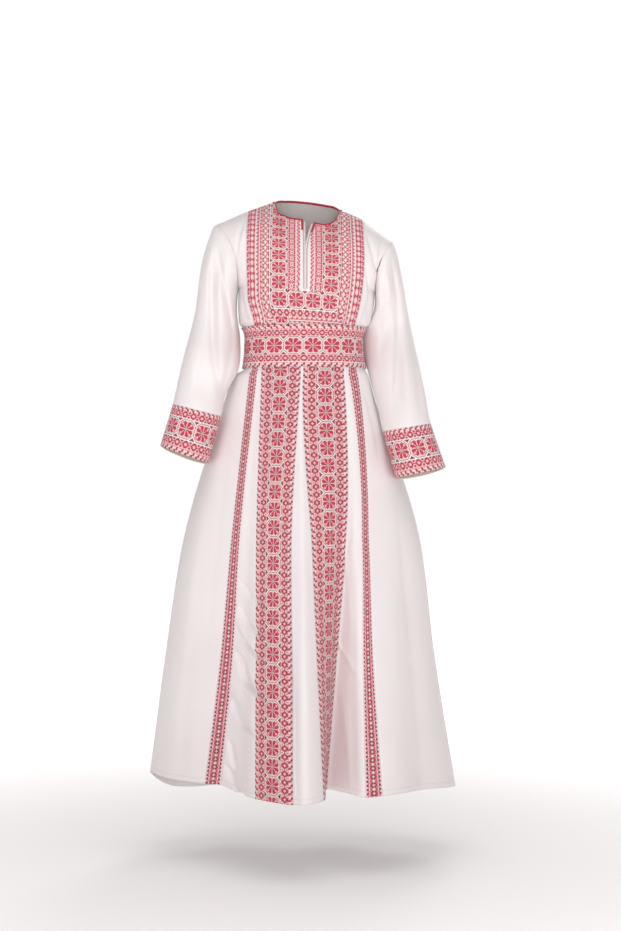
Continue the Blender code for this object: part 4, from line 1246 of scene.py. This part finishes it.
def skirt_keys(fall):
    """Where the skirt's lines pass, for each share of the way from the waist seam to the hem."""
    keys = np.empty((len(fall), len(SKIRT_LINES), 3))
    section = waist(np.array([0.0, QUARTER, math.pi]), BELT_LINE)
    centre = (BODY["right"][0] + BODY["left"][0]) / 2
    for i in range(len(SKIRT_LINES)):
        row = {name: SKIRT[name][i] for name in SKIRT if name != "line"}
        z = WAIST_SEAM + (row["hem_z"] - WAIST_SEAM) * fall
        knots = np.array([-row["hem_z"], -KNEE_LINE, -HAND_LINE, -BELT_LINE])[::-1]
        x, y = (
            through(knots, [row[place + axis] for place in ("belt", "hand", "knee", "hem")], -z)
            for axis in ("_x", "_y")
        )
        bow = np.clip((BELT_LINE - z) / (BELT_LINE - HAND_LINE), 0.0, 1.0) ** BOW_HEIGHT
        x = x + BOWED.get(SKIRT_LINES[i], 0.0) * 4.0 * bow * (1.0 - bow)
        deep = section[0, 1] if row["belt_y"] < 0 else section[2, 1]
        turn = math.atan2((row["belt_x"] - centre) / section[1, 0], abs(row["belt_y"] / deep))
        turn = turn if row["belt_y"] < 0 else math.pi - turn
        loose = eased((SKIRT_FREE - z) / (SKIRT_FREE - BELT_LINE))[:, None]
        keys[:, i] = waist(turn, z) * (1.0 - loose) + stacked(x, y, z) * loose
    return keys


def skirt(line, fall):
    """Points of the skirt at line numbers, whole on the lines, and shares of the way down."""
    keys = skirt_keys(fall)
    step = np.roll(keys, -1, axis=1) - keys
    length = np.linalg.norm(step, axis=2, keepdims=True)
    rate = step / length
    before = np.roll(length, 1, axis=1)
    tangent = (rate * before + np.roll(rate, 1, axis=1) * length) / (length + before)
    line = np.broadcast_to(line, (len(fall), np.shape(line)[-1]))
    i = np.floor(line).astype(int)
    share = (line - i)[..., None]
    i = i % len(SKIRT_LINES)
    j = (i + 1) % len(SKIRT_LINES)
    r = np.arange(len(fall))[:, None]
    long = length[r, i]
    return hermite(keys[r, i], tangent[r, i] * long, keys[r, j], tangent[r, j] * long, share)


def skirt_panel(start, end, columns, fall):
    """A grid of the skirt between two lines, with its columns evenly apart in every row."""
    first = SKIRT_LINES.index(start)
    last = SKIRT_LINES.index(end)
    last = last if last > first else last + len(SKIRT_LINES)
    fine = np.linspace(first, last, FINE_STEPS * (last - first + 4) + 1)
    rough = skirt(fine, fall)
    run = np.linalg.norm(np.diff(rough, axis=1), axis=2)
    run = np.concatenate([np.zeros((len(fall), 1)), np.cumsum(run, axis=1)], axis=1)
    share = np.linspace(0.0, 1.0, columns + 1)
    line = np.stack([np.interp(share * along[-1], along, fine) for along in run])
    return skirt(line, fall)


for name, solid, start, end, columns, rows, wide, long, area in PLAIN_PANELS:
    points = skirt_panel(start, end, columns, np.linspace(0.0, 1.0, rows + 1))
    points = folded(points, SKIRT_FOLDS)
    points = drawn_in(puckered(points), head=False)
    piece = cloth(name, points, -1, CLOTH_WALL, HEMMED, SATIN_INSIDE)
    sewn(piece, solid)


# Embroidered bands of the skirt
#
# Two wide bands of rosettes between lozenges beside the centre front, and two narrow bands of a linked
# chain further out. They are cross stitched strips sewn between the plain panels from waist to hem.

WIDE_STRIPS = "key pale lozenge pale rosette pale lozenge -key"
NARROW_STRIPS = "chain"
STITCH = 0.00228
# The bands' cross stitch has stronger painted shade between the strands than the chest, cuffs and belt.
BAND_STITCHED = stitched_finish("cross_stitched_bands", 0.40)
# Band, its first and last line, strips, rows cut off its first repeat, and its width laid flat.
BANDS = (
    ("wide_right", "wide_right_out", "wide_right_in", WIDE_STRIPS, 5, 0.095),
    ("wide_left", "wide_left_in", "wide_left_out", WIDE_STRIPS, 14, 0.097),
    ("narrow_right", "narrow_right_out", "narrow_right_in", NARROW_STRIPS, 0, 0.031),
    ("narrow_left", "narrow_left_in", "narrow_left_out", NARROW_STRIPS, 3, 0.027),
)


def even_fall(start, end):
    """Shares of the way down at which the middle of a band passes from one row of stitches to the next."""
    middle = (SKIRT_LINES.index(start) + SKIRT_LINES.index(end)) / 2
    fine = np.linspace(0.0, 1.0, 400)
    line = skirt(np.array([middle]), fine)[:, 0]
    return evenly(line, fine, round(run_along(line)[-1] / STITCH))


for band, start, end, strips, cut_off, wide in BANDS:
    fall = even_fall(start, end)
    points = skirt_panel(start, end, cells_in(strips), fall)
    points = drawn_in(folded(points, SKIRT_FOLDS), head=False)
    threads = thread_colours(banded(strips, np.arange(len(fall) - 1) + cut_off))
    name = "band_cloth_" + band
    piece = cloth(name, points, -1, STITCHED_WALL, BAND_STITCHED, SATIN_INSIDE, threads=threads)
    sewn(piece, "band_" + band)


# Belt
#
# A wide stiffened belt over the waist seam, cross stitched all round with a row of large rosettes
# between lozenges and a dotted edge. It closes at the middle of the back.

BELT_FOOT = -0.385
BELT_WALL = 0.0022
BELT_EASE = 0.0015
BELT_COLUMNS = 340
BELT_STRIPS = "key pale large_lozenge pale large_rosette pale large_lozenge white -key"
# Repeat and start of the motifs, so that each goes round the belt a whole number of times.
BELT_FITS = {
    "key": (BELT_COLUMNS / 51, 0),
    "large_lozenge": (BELT_COLUMNS / 37, 0),
    "large_rosette": (BELT_COLUMNS / 17, 9),
}

fine = np.linspace(-math.pi, math.pi, 2 * HALF_DEGREES - 1)
turn = evenly(waist(fine, WAIST_SEAM), fine, BELT_COLUMNS)[:-1]
height = np.linspace(BELT_TOP, BELT_FOOT, cells_in(BELT_STRIPS) + 1)
points = waist(turn[None, :], height[:, None])
step = np.roll(points, -1, axis=1) - np.roll(points, 1, axis=1)
out = unit(np.cross(np.gradient(points, axis=0), step))
points = points + out * (BELT_EASE + BELT_WALL)
threads = thread_colours(banded(BELT_STRIPS, np.arange(BELT_COLUMNS), **BELT_FITS).T)
belt = cloth(
    "belt_cloth", points, -1, BELT_WALL, STITCHED, SATIN_INSIDE, closed=True, threads=threads
)
sewn(belt, "belt")


# Studio
#
# A pale floor that glows as painted light, faintly under the dress, where it lifts the shadow, and more
# and more away from it, into an even white surround; and large soft lights, most of them from the
# front. The camera stands straight in front of the dress, at the height of its middle.

FLOOR_HEIGHT = -1.53
FLOOR_RADIUS = 14.0
FLOOR_SIDES = 96
CAMERA_DISTANCE = 4.5
CAMERA_X = 0.0094
CAMERA_HEIGHT = -0.612
CAMERA_LENS = 74.04  # mm, on a sensor 36 mm wide
LIGHTS_AIM = (0.0, 0.0, -0.7)


def studio_floor():
    turns = np.linspace(0.0, 2 * math.pi, FLOOR_SIDES, endpoint=False)
    rim = stacked(np.cos(turns), np.sin(turns), 0.0) * FLOOR_RADIUS
    made, tree, shader = finish_of("pale_floor", Roughness=0.9, Emission_Strength=1.0)
    tones = {6: (0.97, 0.96, 0.96, 1.0), 7: (0.95, 0.94, 0.94, 1.0)}
    colour = node(tree, "Mix", tones, {"Factor": noise(tree, 1.5)}, data_type="RGBA").outputs[2]
    place = node(tree, "TexCoord").outputs["Object"]
    away = node(tree, "VectorMath", links={0: place}, operation="LENGTH").outputs["Value"]
    # Painted light: the floor glows, least near the dress, where the glow lifts its shadow, and most far off,
    # where it meets the white surround.
    glow = node(
        tree,
        "MapRange",
        {"From Min": 0.2, "From Max": 3.2, "To Min": 0.16, "To Max": 0.8},
        {"Value": away},
        interpolation_type="SMOOTHSTEP",
    ).outputs[0]
    feed(tree, shader, Base_Color=colour, Emission_Color=glow)
    floor = shape("studio_floor", rim, [tuple(range(FLOOR_SIDES))], made)
    floor.location.z = FLOOR_HEIGHT
    return floor


studio_floor()

scene = bpy.context.scene
scene.view_settings.view_transform = "Standard"
world = bpy.data.worlds.new("studio")
world.use_nodes = True
tree = world.node_tree
surround = tree.nodes["Background"]
surround.inputs["Color"].default_value = (1.0, 0.945, 0.94, 1.0)
surround.inputs["Strength"].default_value = 0.40
white = node(tree, "Background", {"Color": (1.0, 1.0, 1.0, 1.0), "Strength": 1.0})
seen = node(tree, "LightPath").outputs["Is Camera Ray"]
both = node(tree, "MixShader", links={0: seen, 1: surround.outputs[0], 2: white.outputs[0]})
tree.links.new(both.outputs[0], tree.nodes["World Output"].inputs["Surface"])
scene.world = world

LIGHTS = (
    ("front_light", (0.10, -5.2, -0.50), 1.4, 74.0),
    ("key_light", (-0.9, -4.0, 1.2), 2.0, 7.0),
    ("top_light", (0.2, -1.9, 3.2), 3.6, 45.0),
    ("back_light", (0.9, 3.0, 1.4), 1.6, 24.0),
)
for name, place, size, power in LIGHTS:
    lamp = bpy.data.lights.new(name, "AREA")
    lamp.shape = "DISK"
    lamp.size = size
    lamp.energy = power
    light = bpy.data.objects.new(name, lamp)
    light.location = place
    aim = np.subtract(LIGHTS_AIM, place)
    light.rotation_euler = (
        math.atan2(math.hypot(aim[0], aim[1]), -aim[2]),
        0.0,
        math.atan2(aim[1], aim[0]) - QUARTER,
    )
    bpy.context.collection.objects.link(light)

camera = bpy.data.objects.new("camera", bpy.data.cameras.new("camera"))
camera.location = (CAMERA_X, -CAMERA_DISTANCE, CAMERA_HEIGHT)
camera.rotation_euler = (QUARTER, 0.0, 0.0)
camera.data.lens = CAMERA_LENS
camera.data.sensor_width = 36.0
bpy.context.collection.objects.link(camera)
scene.camera = camera
